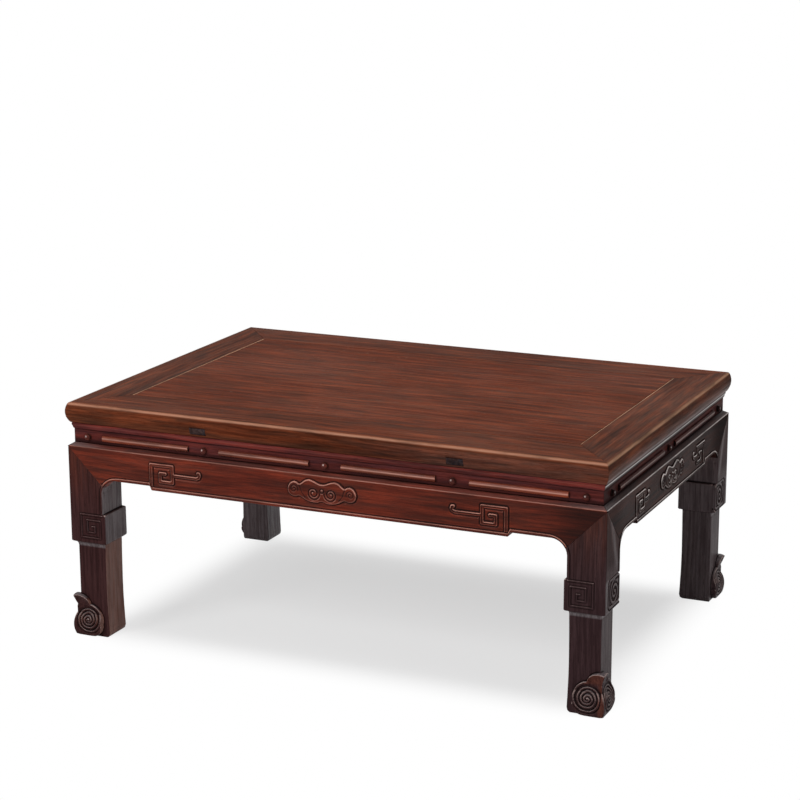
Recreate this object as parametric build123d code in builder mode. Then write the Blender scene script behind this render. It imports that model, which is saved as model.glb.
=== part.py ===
"""Kang table: a low waisted table in dark rosewood.

A mitred frame holds a floating panel with two dovetailed battens. Under it stand a thin
moulding, a waist with half-round bars and turned bosses, and four aprons that meet the
legs in embracing-shoulder joints. Each leg is one timber with a square block at its
middle and a scroll foot. Millimetres, +Z up, X along the table, the floor at Z = 0.
"""

import os

from build123d import *

# Overall size
top_length = 860.0
top_depth = 592.0
table_height = 368.0

# Thickness or height of the layers under the table's surface, from the top down
frame_thickness = 31.0
moulding_thickness = 8.0
waist_height = 23.0

# How far each layer stands behind the outer faces of the legs
top_overhang = 1.8
moulding_setback = 5.0
waist_setback = 8.0
apron_thickness = 24.0

# Top frame: two long members, two end members, and their bulging outer edge
long_member_width = 83.0
end_member_width = 71.0
edge_inset_top = 4.0
edge_inset_bottom = 5.5
edge_bulge_drop = 14.5

# Floating panel, with a tongue all round it in the frame's groove
panel_thickness = 14.0
panel_gap = 0.4
tongue_thickness = 7.0
tongue_length = 9.0
tongue_end_gap = 1.0

# Two battens across the panel's underside, with through tenons in the long members
batten_spacing = 408.0
batten_width = 34.0
batten_height = 16.0
batten_tenon_width = 26.0
batten_tenon_height = 10.0
batten_tenon_lift = 3.0
dovetail_neck = 22.0
dovetail_head = 28.0
dovetail_height = 5.0

# Blind tenon of each mitred corner of the frame
corner_tenon_width = 34.0
corner_tenon_height = 8.0
corner_tenon_drop = 0.5
corner_tenon_margin = 9.0
corner_tenon_cover = 12.0

# Moulding, and the tongues along the waist boards
moulding_lip = 4.5
moulding_hollow = 0.9
board_tongue_width = 6.0
board_tongue_height = 4.0

# Bars and turned bosses on the waist boards, the bosses with a square tenon each
boss_count_along = 5
boss_count_across = 3
boss_inset_along = 32.2
boss_inset_across = 40.2
boss_radius = 5.5
boss_side_count = 24
boss_wall = 2.4
boss_rise = 5.5
boss_taper = 40.0
boss_tenon_width = 4.0
boss_tenon_length = 7.0
boss_room_along = 51.0
boss_room_across = 54.0
bar_width = 7.6
bar_height = 4.0
bar_roundness = 0.95

# Aprons
shoulder_drop = 5.0
apron_width = 52.0
middle_drop = 6.5
middle_inset_along = 141.0
middle_inset_across = 127.0
middle_step = 3.0
corner_radius = 24.0

# Legs
leg_width = 57.0
block_proud = 4.3
block_bottom = 150.5
block_height = 47.4
block_round = 3.0
shin_setback = 7.6
shin_inner_setback = 1.4
shin_waist = 0.7
shin_flare = 2.0
cove_height = 8.0

# Joints of the legs: dovetail keys for the aprons, tenons for the top frame
key_neck = 9.0
key_head = 13.0
key_depth = 8.0
key_from_core = 16.0
key_top_gap = 8.0
long_tenon_length = 13.0
long_tenon_width = 10.0
long_tenon_height = 20.0
short_tenon_length = 12.0
short_tenon_width = 8.0
short_tenon_height = 7.0
tenon_shoulder = 1.0
fit_gap = 0.1

# Scroll foot: its outline on the outer faces, from the leg's outer corner and the floor
lip_height = 63.5
lip_proud = 1.7
neck_height = 37.0
neck_depth = 3.0
bulge_height = 18.0
bulge_proud = 1.7
toe_inset = 2.5
crown_reach = 13.0
crown_height = 66.5
cusp_reach = 27.0
cusp_height = 51.0
brow_reach = 43.5
brow_height = 41.5
cheek_reach = 46.0
cheek_height = 17.0
chin_reach = 28.0
scroll_root = 2.0
volute_reach = 23.0
volute_height = 27.5
volute_core = 3.0
volute_half_pitch = 4.7
volute_half_turns = 3
volute_groove_width = 4.6
volute_groove_depth = 1.4

# Levels and faces that follow from the sizes above
frame_bottom = table_height - frame_thickness
moulding_bottom = frame_bottom - moulding_thickness
apron_top = moulding_bottom - waist_height
shoulder_top = apron_top - shoulder_drop
apron_bottom = apron_top - apron_width
panel_bottom = table_height - panel_thickness
batten_bottom = panel_bottom - batten_height
batten_tenon_bottom = batten_bottom + batten_tenon_lift
corner_tenon_bottom = panel_bottom - corner_tenon_drop - corner_tenon_height
block_top = block_bottom + block_height
block_width = leg_width + block_proud
shin_inner = leg_width - shin_inner_setback
mitre_size = leg_width + corner_radius
top_x = top_length / 2
top_y = top_depth / 2
leg_x = top_x - top_overhang
leg_y = top_y - top_overhang
panel_x = top_x - end_member_width
panel_y = top_y - long_member_width
board_tongue_setback = waist_setback + (apron_thickness - waist_setback - board_tongue_width) / 2
corner_tenon_front = long_member_width - corner_tenon_margin - corner_tenon_width - top_y
boss_pitch_along = 2 * (leg_x - boss_inset_along) / (boss_count_along - 1)
boss_pitch_across = 2 * (leg_y - boss_inset_across) / (boss_count_across - 1)

# Sketch planes on the outer faces: X along the face, Y up, normal pointing outwards
front_edge = Plane(origin=(0, -top_y, 0), x_dir=(1, 0, 0), z_dir=(0, -1, 0))
right_edge = Plane(origin=(top_x, 0, 0), x_dir=(0, 1, 0), z_dir=(1, 0, 0))
front_face = Plane(origin=(0, -leg_y, 0), x_dir=(1, 0, 0), z_dir=(0, -1, 0))
right_face = Plane(origin=(leg_x, 0, 0), x_dir=(0, 1, 0), z_dir=(1, 0, 0))

# The front left leg is made first: its outer corner, its front face and its diagonal
leg_corner = (-leg_x, -leg_y, 0)
leg_front = Plane(origin=leg_corner, x_dir=(1, 0, 0), z_dir=(0, -1, 0))
leg_diagonal = Plane(origin=leg_corner, z_dir=(1, -1, 0))


def section_of(face):
    """Plane across a face: X goes inwards from the face, Y up, normal along the face."""
    return Plane(origin=face.origin, x_dir=-face.z_dir, z_dir=face.x_dir)


def mitre_ends(face, half_length, run=1.0, depth=1.0):
    """Cut both ends of a member from its outer corners, by run along it for each depth into it."""
    for end in (-1, 1):
        corner = face.origin + face.x_dir * (end * half_length)
        split(
            bisect_by=Plane(origin=corner, z_dir=face.z_dir * run - face.x_dir * (end * depth)),
            keep=Keep.TOP,
        )


def save(part, label):
    """Label a finished piece and write it to its own file."""
    part.label = label
    export_step(part, f"parts/{label}.step")


def save_pair(part, first, second, about):
    """Write a piece and the like piece on the other side of the table."""
    with BuildPart() as opposite:
        mirror(part, about=about)
    save(part, first)
    save(opposite.part, second)


os.makedirs("parts", exist_ok=True)


# Top frame -----------------------------------------------------------------------------


def draw_frame_section(width, edge_scale):
    """Section of a frame member: bulging outer edge, square inner edge with the panel's groove."""
    top_point = (edge_inset_top * edge_scale, table_height)
    low_point = (edge_inset_bottom * edge_scale, frame_bottom)
    with BuildLine() as outline:
        ThreePointArc(top_point, (0, table_height - edge_bulge_drop), low_point)
        Polyline(low_point, (width, frame_bottom), (width, table_height), top_point)
    make_face(outline.edges())
    with Locations((width, panel_bottom)):
        Rectangle(
            tongue_length + tongue_end_gap,
            tongue_thickness + fit_gap,
            align=(Align.MAX, Align.MIN),
            mode=Mode.SUBTRACT,
        )


with BuildPart() as leg_tenons:
    # Long tenon for the long member and short tenon for the end member, at the front left leg
    with BuildSketch(Plane(origin=(-leg_x, -leg_y, frame_bottom))) as long_tenon:
        with Locations((leg_width - tenon_shoulder, apron_thickness + tenon_shoulder)):
            Rectangle(long_tenon_length, long_tenon_width, align=(Align.MAX, Align.MIN))
    extrude(amount=long_tenon_height)
    with BuildSketch(Plane(origin=(-leg_x, -leg_y, frame_bottom))) as short_tenon:
        with Locations((apron_thickness + tenon_shoulder, leg_width - tenon_shoulder)):
            Rectangle(short_tenon_length, short_tenon_width, align=(Align.MIN, Align.MAX))
    extrude(amount=short_tenon_height)

with BuildPart() as leg_mortises:
    for tenon, height in ((long_tenon, long_tenon_height), (short_tenon, short_tenon_height)):
        with BuildSketch(Plane.XY.offset(frame_bottom)):
            offset(tenon.sketch, amount=fit_gap, kind=Kind.INTERSECTION)
        extrude(amount=height + fit_gap)
    mirror(about=Plane.YZ)
    mirror(about=Plane.XZ)

with BuildPart() as corner_tenons:
    # Blind tenons on both ends of the front long member, below the panel's groove
    with BuildSketch(Plane.XY.offset(corner_tenon_bottom)):
        with Locations((0, corner_tenon_front)):
            Rectangle(
                top_length - 2 * corner_tenon_cover,
                corner_tenon_width,
                align=(Align.CENTER, Align.MIN),
            )
    extrude(amount=corner_tenon_height)

with BuildPart() as corner_mortises:
    with BuildSketch(Plane.XY.offset(corner_tenon_bottom - fit_gap)):
        with Locations((0, corner_tenon_front - fit_gap)):
            Rectangle(
                top_length - 2 * (corner_tenon_cover - fit_gap),
                corner_tenon_width + 2 * fit_gap,
                align=(Align.CENTER, Align.MIN),
            )
    extrude(amount=corner_tenon_height + 2 * fit_gap)
    mirror(about=Plane.XZ)

with BuildPart() as frame_long:
    with BuildSketch(section_of(front_edge)):
        draw_frame_section(long_member_width, 1.0)
    extrude(amount=top_x, both=True)
    mitre_ends(front_edge, top_x, run=end_member_width, depth=long_member_width)
    add(corner_tenons.part)
    add(leg_mortises.part, mode=Mode.SUBTRACT)
    # Through mortises for the battens' tenons
    with BuildSketch(front_edge):
        with Locations((0, batten_tenon_bottom - fit_gap)):
            with GridLocations(batten_spacing, 0, 2, 1):
                Rectangle(
                    batten_tenon_width + 2 * fit_gap,
                    batten_tenon_height + 2 * fit_gap,
                    align=(Align.CENTER, Align.MIN),
                )
    extrude(amount=-long_member_width, mode=Mode.SUBTRACT)
save_pair(frame_long.part, "frame_long_front", "frame_long_back", Plane.XZ)

with BuildPart() as frame_end:
    with BuildSketch(section_of(right_edge)):
        draw_frame_section(end_member_width, end_member_width / long_member_width)
    extrude(amount=top_y, both=True)
    mitre_ends(right_edge, top_y, run=long_member_width, depth=end_member_width)
    add(corner_mortises.part, mode=Mode.SUBTRACT)
    add(leg_mortises.part, mode=Mode.SUBTRACT)
save_pair(frame_end.part, "frame_end_right", "frame_end_left", Plane.YZ)

# Panel and battens ---------------------------------------------------------------------


def draw_dovetail(neck, head, height):
    """Dovetail standing on the X axis of the sketch, narrow at its foot."""
    with BuildLine() as outline:
        Polyline(
            (-neck / 2, 0), (neck / 2, 0), (head / 2, height), (-head / 2, height), close=True
        )
    make_face(outline.edges())


batten_planes = [
    Plane(origin=(side * batten_spacing / 2, 0, panel_bottom), x_dir=(1, 0, 0), z_dir=(0, -1, 0))
    for side in (-1, 1)
]

with BuildPart() as top_panel:
    with BuildSketch(Plane.XY.offset(panel_bottom)):
        Rectangle(2 * (panel_x - panel_gap), 2 * (panel_y - panel_gap))
    extrude(amount=panel_thickness)
    with BuildSketch(Plane.XY.offset(panel_bottom)):
        Rectangle(2 * (panel_x + tongue_length), 2 * (panel_y + tongue_length))
    extrude(amount=tongue_thickness)
    # Dovetail grooves across the underside
    for plane in batten_planes:
        with BuildSketch(plane):
            draw_dovetail(
                dovetail_neck + 2 * fit_gap, dovetail_head + 2 * fit_gap, dovetail_height + fit_gap
            )
        extrude(amount=panel_y + tongue_length, both=True, mode=Mode.SUBTRACT)
save(top_panel.part, "top_panel")

for label, plane in zip(("batten_left", "batten_right"), batten_planes):
    with BuildPart() as batten:
        with BuildSketch(plane):
            draw_dovetail(dovetail_neck, dovetail_head, dovetail_height)
            Rectangle(batten_width, batten_height, align=(Align.CENTER, Align.MAX))
        extrude(amount=panel_y, both=True)
        # Through tenons, trimmed to the bulge of the frame's edge
        with BuildSketch(section_of(front_edge).offset(plane.origin.X)):
            draw_frame_section(long_member_width, 1.0)
            with Locations((0, batten_tenon_bottom)):
                Rectangle(
                    long_member_width,
                    batten_tenon_height,
                    align=(Align.MIN, Align.MIN),
                    mode=Mode.INTERSECT,
                )
        extrude(amount=batten_tenon_width / 2, both=True)
        mirror(about=Plane.XZ)
    save(batten.part, label)

# Moulding and waist --------------------------------------------------------------------


def draw_board_tongue(level, gap=0.0, mode=Mode.ADD):
    """Tongue, or its groove, that joins a waist board to the piece above or below it."""
    with Locations((board_tongue_setback - gap, level)):
        Rectangle(
            board_tongue_width + 2 * gap,
            2 * (board_tongue_height + gap),
            align=(Align.MIN, Align.CENTER),
            mode=mode,
        )


def make_moulding(face, half_length):
    """Thin moulding under the top frame: a lip with a hollow below it, mitred at its ends."""
    lip_bottom = frame_bottom - moulding_lip
    with BuildPart() as moulding:
        with BuildSketch(section_of(face)):
            with BuildLine() as outline:
                Polyline(
                    (moulding_setback, lip_bottom),
                    (moulding_setback, frame_bottom),
                    (apron_thickness, frame_bottom),
                    (apron_thickness, moulding_bottom),
                    (waist_setback, moulding_bottom),
                )
                SagittaArc(
                    (waist_setback, moulding_bottom),
                    (moulding_setback, lip_bottom),
                    -moulding_hollow,
                )
            make_face(outline.edges())
            draw_board_tongue(moulding_bottom, fit_gap, Mode.SUBTRACT)
        extrude(amount=half_length, both=True)
        mitre_ends(face, half_length)
    return moulding.part


def waist_plane(face):
    """Outer face of the waist board, with its origin at mid height."""
    return Plane(
        origin=face.origin - face.z_dir * waist_setback + Vector(0, 0, apron_top + waist_height / 2),
        x_dir=face.x_dir,
        z_dir=face.z_dir,
    )


def make_waist_board(face, half_length, pitch, count):
    """Waist board, mitred at its ends, with a tongue above and below and mortises for bosses."""
    with BuildPart() as board:
        with BuildSketch(section_of(face)):
            with Locations((waist_setback, apron_top)):
                Rectangle(
                    apron_thickness - waist_setback, waist_height, align=(Align.MIN, Align.MIN)
                )
            draw_board_tongue(moulding_bottom)
            draw_board_tongue(apron_top)
        extrude(amount=half_length, both=True)
        mitre_ends(face, half_length)
        with BuildSketch(waist_plane(face)):
            with GridLocations(pitch, 0, count, 1):
                Rectangle(boss_tenon_width + 2 * fit_gap, boss_tenon_width + 2 * fit_gap)
        extrude(amount=-(boss_tenon_length + fit_gap), mode=Mode.SUBTRACT)
    return board.part


def make_bosses(face, pitch, count):
    """Small round bosses: a square tenon behind a short wall and a tapering crown."""
    surface = waist_plane(face)
    with BuildPart() as bosses:
        with BuildSketch(surface):
            with GridLocations(pitch, 0, count, 1):
                Rectangle(boss_tenon_width, boss_tenon_width)
        extrude(amount=-boss_tenon_length)
        for lift, height, taper in (
            (0, boss_wall, 0),
            (boss_wall, boss_rise - boss_wall, boss_taper),
        ):
            with BuildSketch(surface.offset(lift)):
                with GridLocations(pitch, 0, count, 1):
                    RegularPolygon(boss_radius, boss_side_count)
            extrude(amount=height, taper=taper)
    return bosses.part


def make_bars(face, pitch, count, length):
    """Half-round bars between the bosses, glued to the waist board."""
    with BuildPart() as bars:
        with BuildSketch(waist_plane(face)):
            with GridLocations(pitch, 0, count, 1):
                Rectangle(length, bar_width)
        extrude(amount=bar_height)
        along = Axis((0, 0, 0), face.x_dir)
        outwards = Axis((0, 0, 0), face.z_dir)
        crests = bars.edges().filter_by(along).group_by(outwards)[-1]
        fillet(crests, min(bar_height, bar_width / 2) * bar_roundness)
    return bars.part


# Aprons --------------------------------------------------------------------------------


def draw_key(gap=0.0):
    """Dovetail key seen from above, standing on the core of the leg."""
    with BuildLine() as outline:
        Polyline(
            (key_from_core - key_neck / 2 - gap, 0),
            (key_from_core + key_neck / 2 + gap, 0),
            (key_from_core + key_head / 2 + gap, key_depth + gap),
            (key_from_core - key_head / 2 - gap, key_depth + gap),
            close=True,
        )
    make_face(outline.edges())


def key_plane(top):
    """Plane at the top of the front left leg's front key: Y goes outwards, normal down."""
    origin = (apron_thickness - leg_x, apron_thickness - leg_y, top)
    return Plane(origin=origin, x_dir=(1, 0, 0), z_dir=(0, 0, -1))


key_top = apron_top - key_top_gap
key_length = key_top - (shoulder_top - leg_width)

with BuildPart() as leg_keys:
    with BuildSketch(key_plane(key_top)):
        draw_key()
    extrude(amount=key_length)
    mirror(about=leg_diagonal)

with BuildPart() as key_grooves:
    with BuildSketch(key_plane(key_top + fit_gap)):
        draw_key(fit_gap)
    extrude(amount=key_length + fit_gap)
    mirror(about=leg_diagonal)
    mirror(about=Plane.YZ)
    mirror(about=Plane.XZ)


def draw_knee_opening(half_length):
    """Take out the open space between two legs and under an apron."""
    side = half_length - leg_width
    with BuildLine() as outline:
        FilletPolyline(
            (-side, 0), (-side, apron_bottom), (side, apron_bottom), (side, 0), radius=corner_radius
        )
        Line((side, 0), (-side, 0))
    make_face(outline.edges(), mode=Mode.SUBTRACT)


def make_apron(face, half_length, middle_inset):
    """Apron whose mitred ends lap over the legs and slide down on their dovetail keys."""
    middle_start = half_length - middle_inset
    with BuildPart() as apron:
        with BuildSketch(face):
            # The band between the legs, with a shallow step down in its middle
            with Locations((0, apron_top)):
                Rectangle(
                    2 * half_length,
                    shoulder_drop + mitre_size,
                    align=(Align.CENTER, Align.MAX),
                )
            draw_knee_opening(half_length)
            with BuildLine() as middle:
                Polyline(
                    (-middle_start, apron_bottom),
                    (middle_step - middle_start, apron_bottom - middle_drop),
                    (middle_start - middle_step, apron_bottom - middle_drop),
                    (middle_start, apron_bottom),
                    close=True,
                )
            make_face(middle.edges())
            # The leg's share of each shoulder, below a 45 degree mitre
            for end in (-1, 1):
                with BuildLine() as leg_share:
                    Polyline(
                        (end * half_length, shoulder_top),
                        (end * half_length, shoulder_top - mitre_size),
                        (end * (half_length - mitre_size), shoulder_top - mitre_size),
                        close=True,
                    )
                make_face(leg_share.edges(), mode=Mode.SUBTRACT)
        extrude(amount=-apron_thickness)
        # Sloping shoulder along the top, and the groove for the waist board's tongue
        with BuildSketch(section_of(face)):
            with BuildLine() as slope:
                Polyline((0, shoulder_top), (0, apron_top), (waist_setback, apron_top), close=True)
            make_face(slope.edges())
            draw_board_tongue(apron_top, fit_gap)
        extrude(amount=half_length, both=True, mode=Mode.SUBTRACT)
        mitre_ends(face, half_length)
        add(key_grooves.part, mode=Mode.SUBTRACT)
    return apron.part


for face, half_length, pitch, count, boss_room, middle_inset, sides in (
    (
        front_face, leg_x, boss_pitch_along, boss_count_along, boss_room_along,
        middle_inset_along, ("front", "back", Plane.XZ),
    ),
    (
        right_face, leg_y, boss_pitch_across, boss_count_across, boss_room_across,
        middle_inset_across, ("right", "left", Plane.YZ),
    ),
):
    first, second, about = sides
    for name, piece in (
        ("moulding", make_moulding(face, half_length)),
        ("waist", make_waist_board(face, half_length, pitch, count)),
        ("bosses", make_bosses(face, pitch, count)),
        ("bars", make_bars(face, pitch, count - 1, pitch - boss_room)),
        ("apron", make_apron(face, half_length, middle_inset)),
    ):
        save_pair(piece, f"{name}_{first}", f"{name}_{second}", about)

# Legs ----------------------------------------------------------------------------------

with BuildPart() as leg_sides:
    # Side view of a leg: post, upper leg, block, shin and toe, cut through its whole depth
    with BuildSketch(leg_front):
        with BuildLine() as leg_outline:
            Polyline((shin_setback, block_bottom - cove_height), (shin_setback, 0))
            Line((shin_setback, 0), (shin_inner + shin_flare, 0))
            Spline(
                (shin_inner + shin_flare, 0),
                (shin_inner - shin_waist, block_bottom / 2),
                (shin_inner, block_bottom),
            )
            Polyline(
                (shin_inner, block_bottom),
                (block_width, block_bottom),
                (block_width, block_top),
                (leg_width, block_top),
                (leg_width, frame_bottom),
                (0, frame_bottom),
                (0, block_bottom + block_round),
            )
            ThreePointArc(
                (0, block_bottom + block_round),
                (block_round * (1 - 0.5**0.5), block_bottom + block_round * (1 - 0.5**0.5)),
                (block_round, block_bottom),
            )
            RadiusArc(
                (block_round, block_bottom),
                (shin_setback, block_bottom - cove_height),
                cove_height,
            )
        make_face(leg_outline.edges())
        chamfer(leg_outline.vertices().group_by(Axis.X)[-1], block_round)
    extrude(amount=-block_width)

with BuildPart() as shoulder_ear:
    # Rounded corner under the apron that belongs to the leg, as thick as the apron
    with BuildSketch(front_face):
        with Locations((leg_width - leg_x, apron_bottom)):
            Rectangle(
                2 * corner_radius, 2 * corner_radius, align=(Align.CENTER, Align.MAX)
            )
        draw_knee_opening(leg_x)
    extrude(amount=-apron_thickness)

with BuildPart() as shoulder_cut:
    # The apron's share of the shoulder, above the mitre, and the space before the waist
    with BuildSketch(leg_front):
        with BuildLine() as apron_share:
            Polyline(
                (0, shoulder_top),
                (mitre_size, shoulder_top - mitre_size),
                (mitre_size, frame_bottom),
                (0, frame_bottom),
                close=True,
            )
        make_face(apron_share.edges())
    extrude(amount=-apron_thickness)


def make_toe(inset):
    """Front view of the toe cut through the leg's depth, with the given inset of its outline."""
    with BuildPart() as toe:
        with BuildSketch(leg_front.offset(block_width)):
            neck = (inset + neck_depth, neck_height)
            lip = (inset - lip_proud, lip_height)
            with BuildLine() as outline:
                # A round bulge that runs on into a hollow neck below the lip
                bulge = ThreePointArc(
                    (inset + toe_inset, 0), (inset - bulge_proud, bulge_height), neck
                )
                TangentArc(neck, lip, tangent=bulge % 1)
                Polyline(
                    lip,
                    (inset - lip_proud, 2 * crown_height),
                    (2 * block_width, 2 * crown_height),
                    (2 * block_width, 0),
                    (inset + toe_inset, 0),
                )
            make_face(outline.edges())
        extrude(amount=-3 * block_width)
    return toe.part


toe = make_toe(0)
toe_under_groove = make_toe(volute_groove_depth)

with BuildPart() as scroll:
    # Front half of the scroll: crown and brow over a volute, between both toe outlines
    with BuildSketch(leg_front.offset(block_width)):
        with BuildLine() as crest:
            ThreePointArc(
                (-lip_proud, lip_height), (crown_reach, crown_height), (cusp_reach, cusp_height)
            )
            ThreePointArc(
                (cusp_reach, cusp_height), (brow_reach, brow_height), (cheek_reach, cheek_height)
            )
            TangentArc(
                (cheek_reach, cheek_height),
                (chin_reach, 0),
                tangent=crest.line % 1,
            )
            Polyline(
                (chin_reach, 0),
                (-block_width, 0),
                (-block_width, lip_height),
                (-lip_proud, lip_height),
            )
        make_face(crest.edges())
    extrude(amount=-(block_width + shin_setback + scroll_root))
    add(toe, mode=Mode.INTERSECT)
    mirror(toe, about=leg_diagonal, mode=Mode.INTERSECT)

with BuildPart() as volute_groove:
    # Spiral groove of half circles that grow from the volute's centre outwards
    with BuildSketch(leg_front.offset(block_width)):
        with BuildLine() as spiral:
            reach = -volute_core
            for turn in range(volute_half_turns):
                side = 1 if turn % 2 == 0 else -1
                next_reach = side * (volute_core + (turn + 1) * volute_half_pitch)
                ThreePointArc(
                    (volute_reach + reach, volute_height),
                    (
                        volute_reach + (reach + next_reach) / 2,
                        volute_height - side * abs(next_reach - reach) / 2,
                    ),
                    (volute_reach + next_reach, volute_height),
                )
                reach = next_reach
        trace(spiral.edges(), line_width=volute_groove_width)
    extrude(amount=-2 * block_width)
    mirror(toe_under_groove, about=leg_diagonal, mode=Mode.SUBTRACT)

with BuildPart() as leg:
    add(leg_sides.part)
    mirror(leg_sides.part, about=leg_diagonal, mode=Mode.INTERSECT)
    for piece in (shoulder_ear.part, scroll.part):
        add(piece)
        mirror(piece, about=leg_diagonal)
    for waste in (shoulder_cut.part, volute_groove.part):
        add(waste, mode=Mode.SUBTRACT)
        mirror(waste, about=leg_diagonal, mode=Mode.SUBTRACT)
    add(leg_keys.part)
    add(leg_tenons.part)

with BuildPart() as leg_right:
    mirror(leg.part, about=Plane.YZ)
save_pair(leg.part, "leg_front_left", "leg_back_left", Plane.XZ)
save_pair(leg_right.part, "leg_front_right", "leg_back_right", Plane.XZ)
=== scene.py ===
"""Looks of a low waisted table in dark rosewood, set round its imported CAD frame.

The drawing sizes are millimetres, as a joiner writes them. Meshes and the scene are metres.
+Z up, X along the table, the floor at Z = 0.
"""

import math

import bpy
import numpy as np
from mathutils import Matrix, Vector


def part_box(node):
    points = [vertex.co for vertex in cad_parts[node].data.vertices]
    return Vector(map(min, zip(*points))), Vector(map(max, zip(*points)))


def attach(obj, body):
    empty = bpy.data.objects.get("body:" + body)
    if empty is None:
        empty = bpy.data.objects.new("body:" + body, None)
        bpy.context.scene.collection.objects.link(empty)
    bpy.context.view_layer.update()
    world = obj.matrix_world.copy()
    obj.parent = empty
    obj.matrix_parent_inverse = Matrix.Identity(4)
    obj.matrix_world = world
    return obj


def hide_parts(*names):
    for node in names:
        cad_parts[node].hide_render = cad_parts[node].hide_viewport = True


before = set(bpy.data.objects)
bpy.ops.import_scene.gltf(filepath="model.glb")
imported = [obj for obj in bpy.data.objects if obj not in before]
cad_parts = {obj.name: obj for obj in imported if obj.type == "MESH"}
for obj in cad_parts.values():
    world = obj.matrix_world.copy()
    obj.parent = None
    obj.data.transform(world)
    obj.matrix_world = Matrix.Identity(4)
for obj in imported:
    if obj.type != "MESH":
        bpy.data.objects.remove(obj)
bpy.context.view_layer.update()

# Top frame ------------------------------------------------------------------------------
# Four rosewood members round the panel, mitred at the corners, with a bulging outer edge.
# Planed, polished with wax and worn at the upper arris, which hands and sleeves have rubbed.

MM = 0.001
GRAIN = {"X": (1.0, 0.0, 0.0), "Y": (0.0, 1.0, 0.0), "Z": (0.0, 0.0, 1.0)}


def add_node(tree, kind, inputs=None, **settings):
    """One shader node with its settings; an input is a value or another node's output."""
    made = tree.nodes.new(kind)
    for key, value in settings.items():
        setattr(made, key, value)
    for key, value in (inputs or {}).items():
        if isinstance(value, bpy.types.NodeSocket):
            tree.links.new(value, made.inputs[key])
        else:
            made.inputs[key].default_value = value
    return made


def blend_colours(tree, kind, share, first, second):
    """Mix of two colours, of which either may be a value or a socket."""
    return add_node(
        tree,
        "ShaderNodeMix",
        {0: share, 6: first, 7: second},
        data_type="RGBA",
        blend_type=kind,
    ).outputs[2]


def ramp(tree, factor, low, high, least=0.0, most=1.0):
    """The factor's range from low to high, stretched to least..most and held there."""
    return add_node(
        tree,
        "ShaderNodeMapRange",
        {"Value": factor, "From Min": low, "From Max": high, "To Min": least, "To Max": most},
        interpolation_type="SMOOTHSTEP",
    ).outputs[0]


def combine(tree, operation, first, second):
    """Sum, product or greater of two values, of which either may be a socket."""
    return add_node(tree, "ShaderNodeMath", {0: first, 1: second}, operation=operation).outputs[0]


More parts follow.
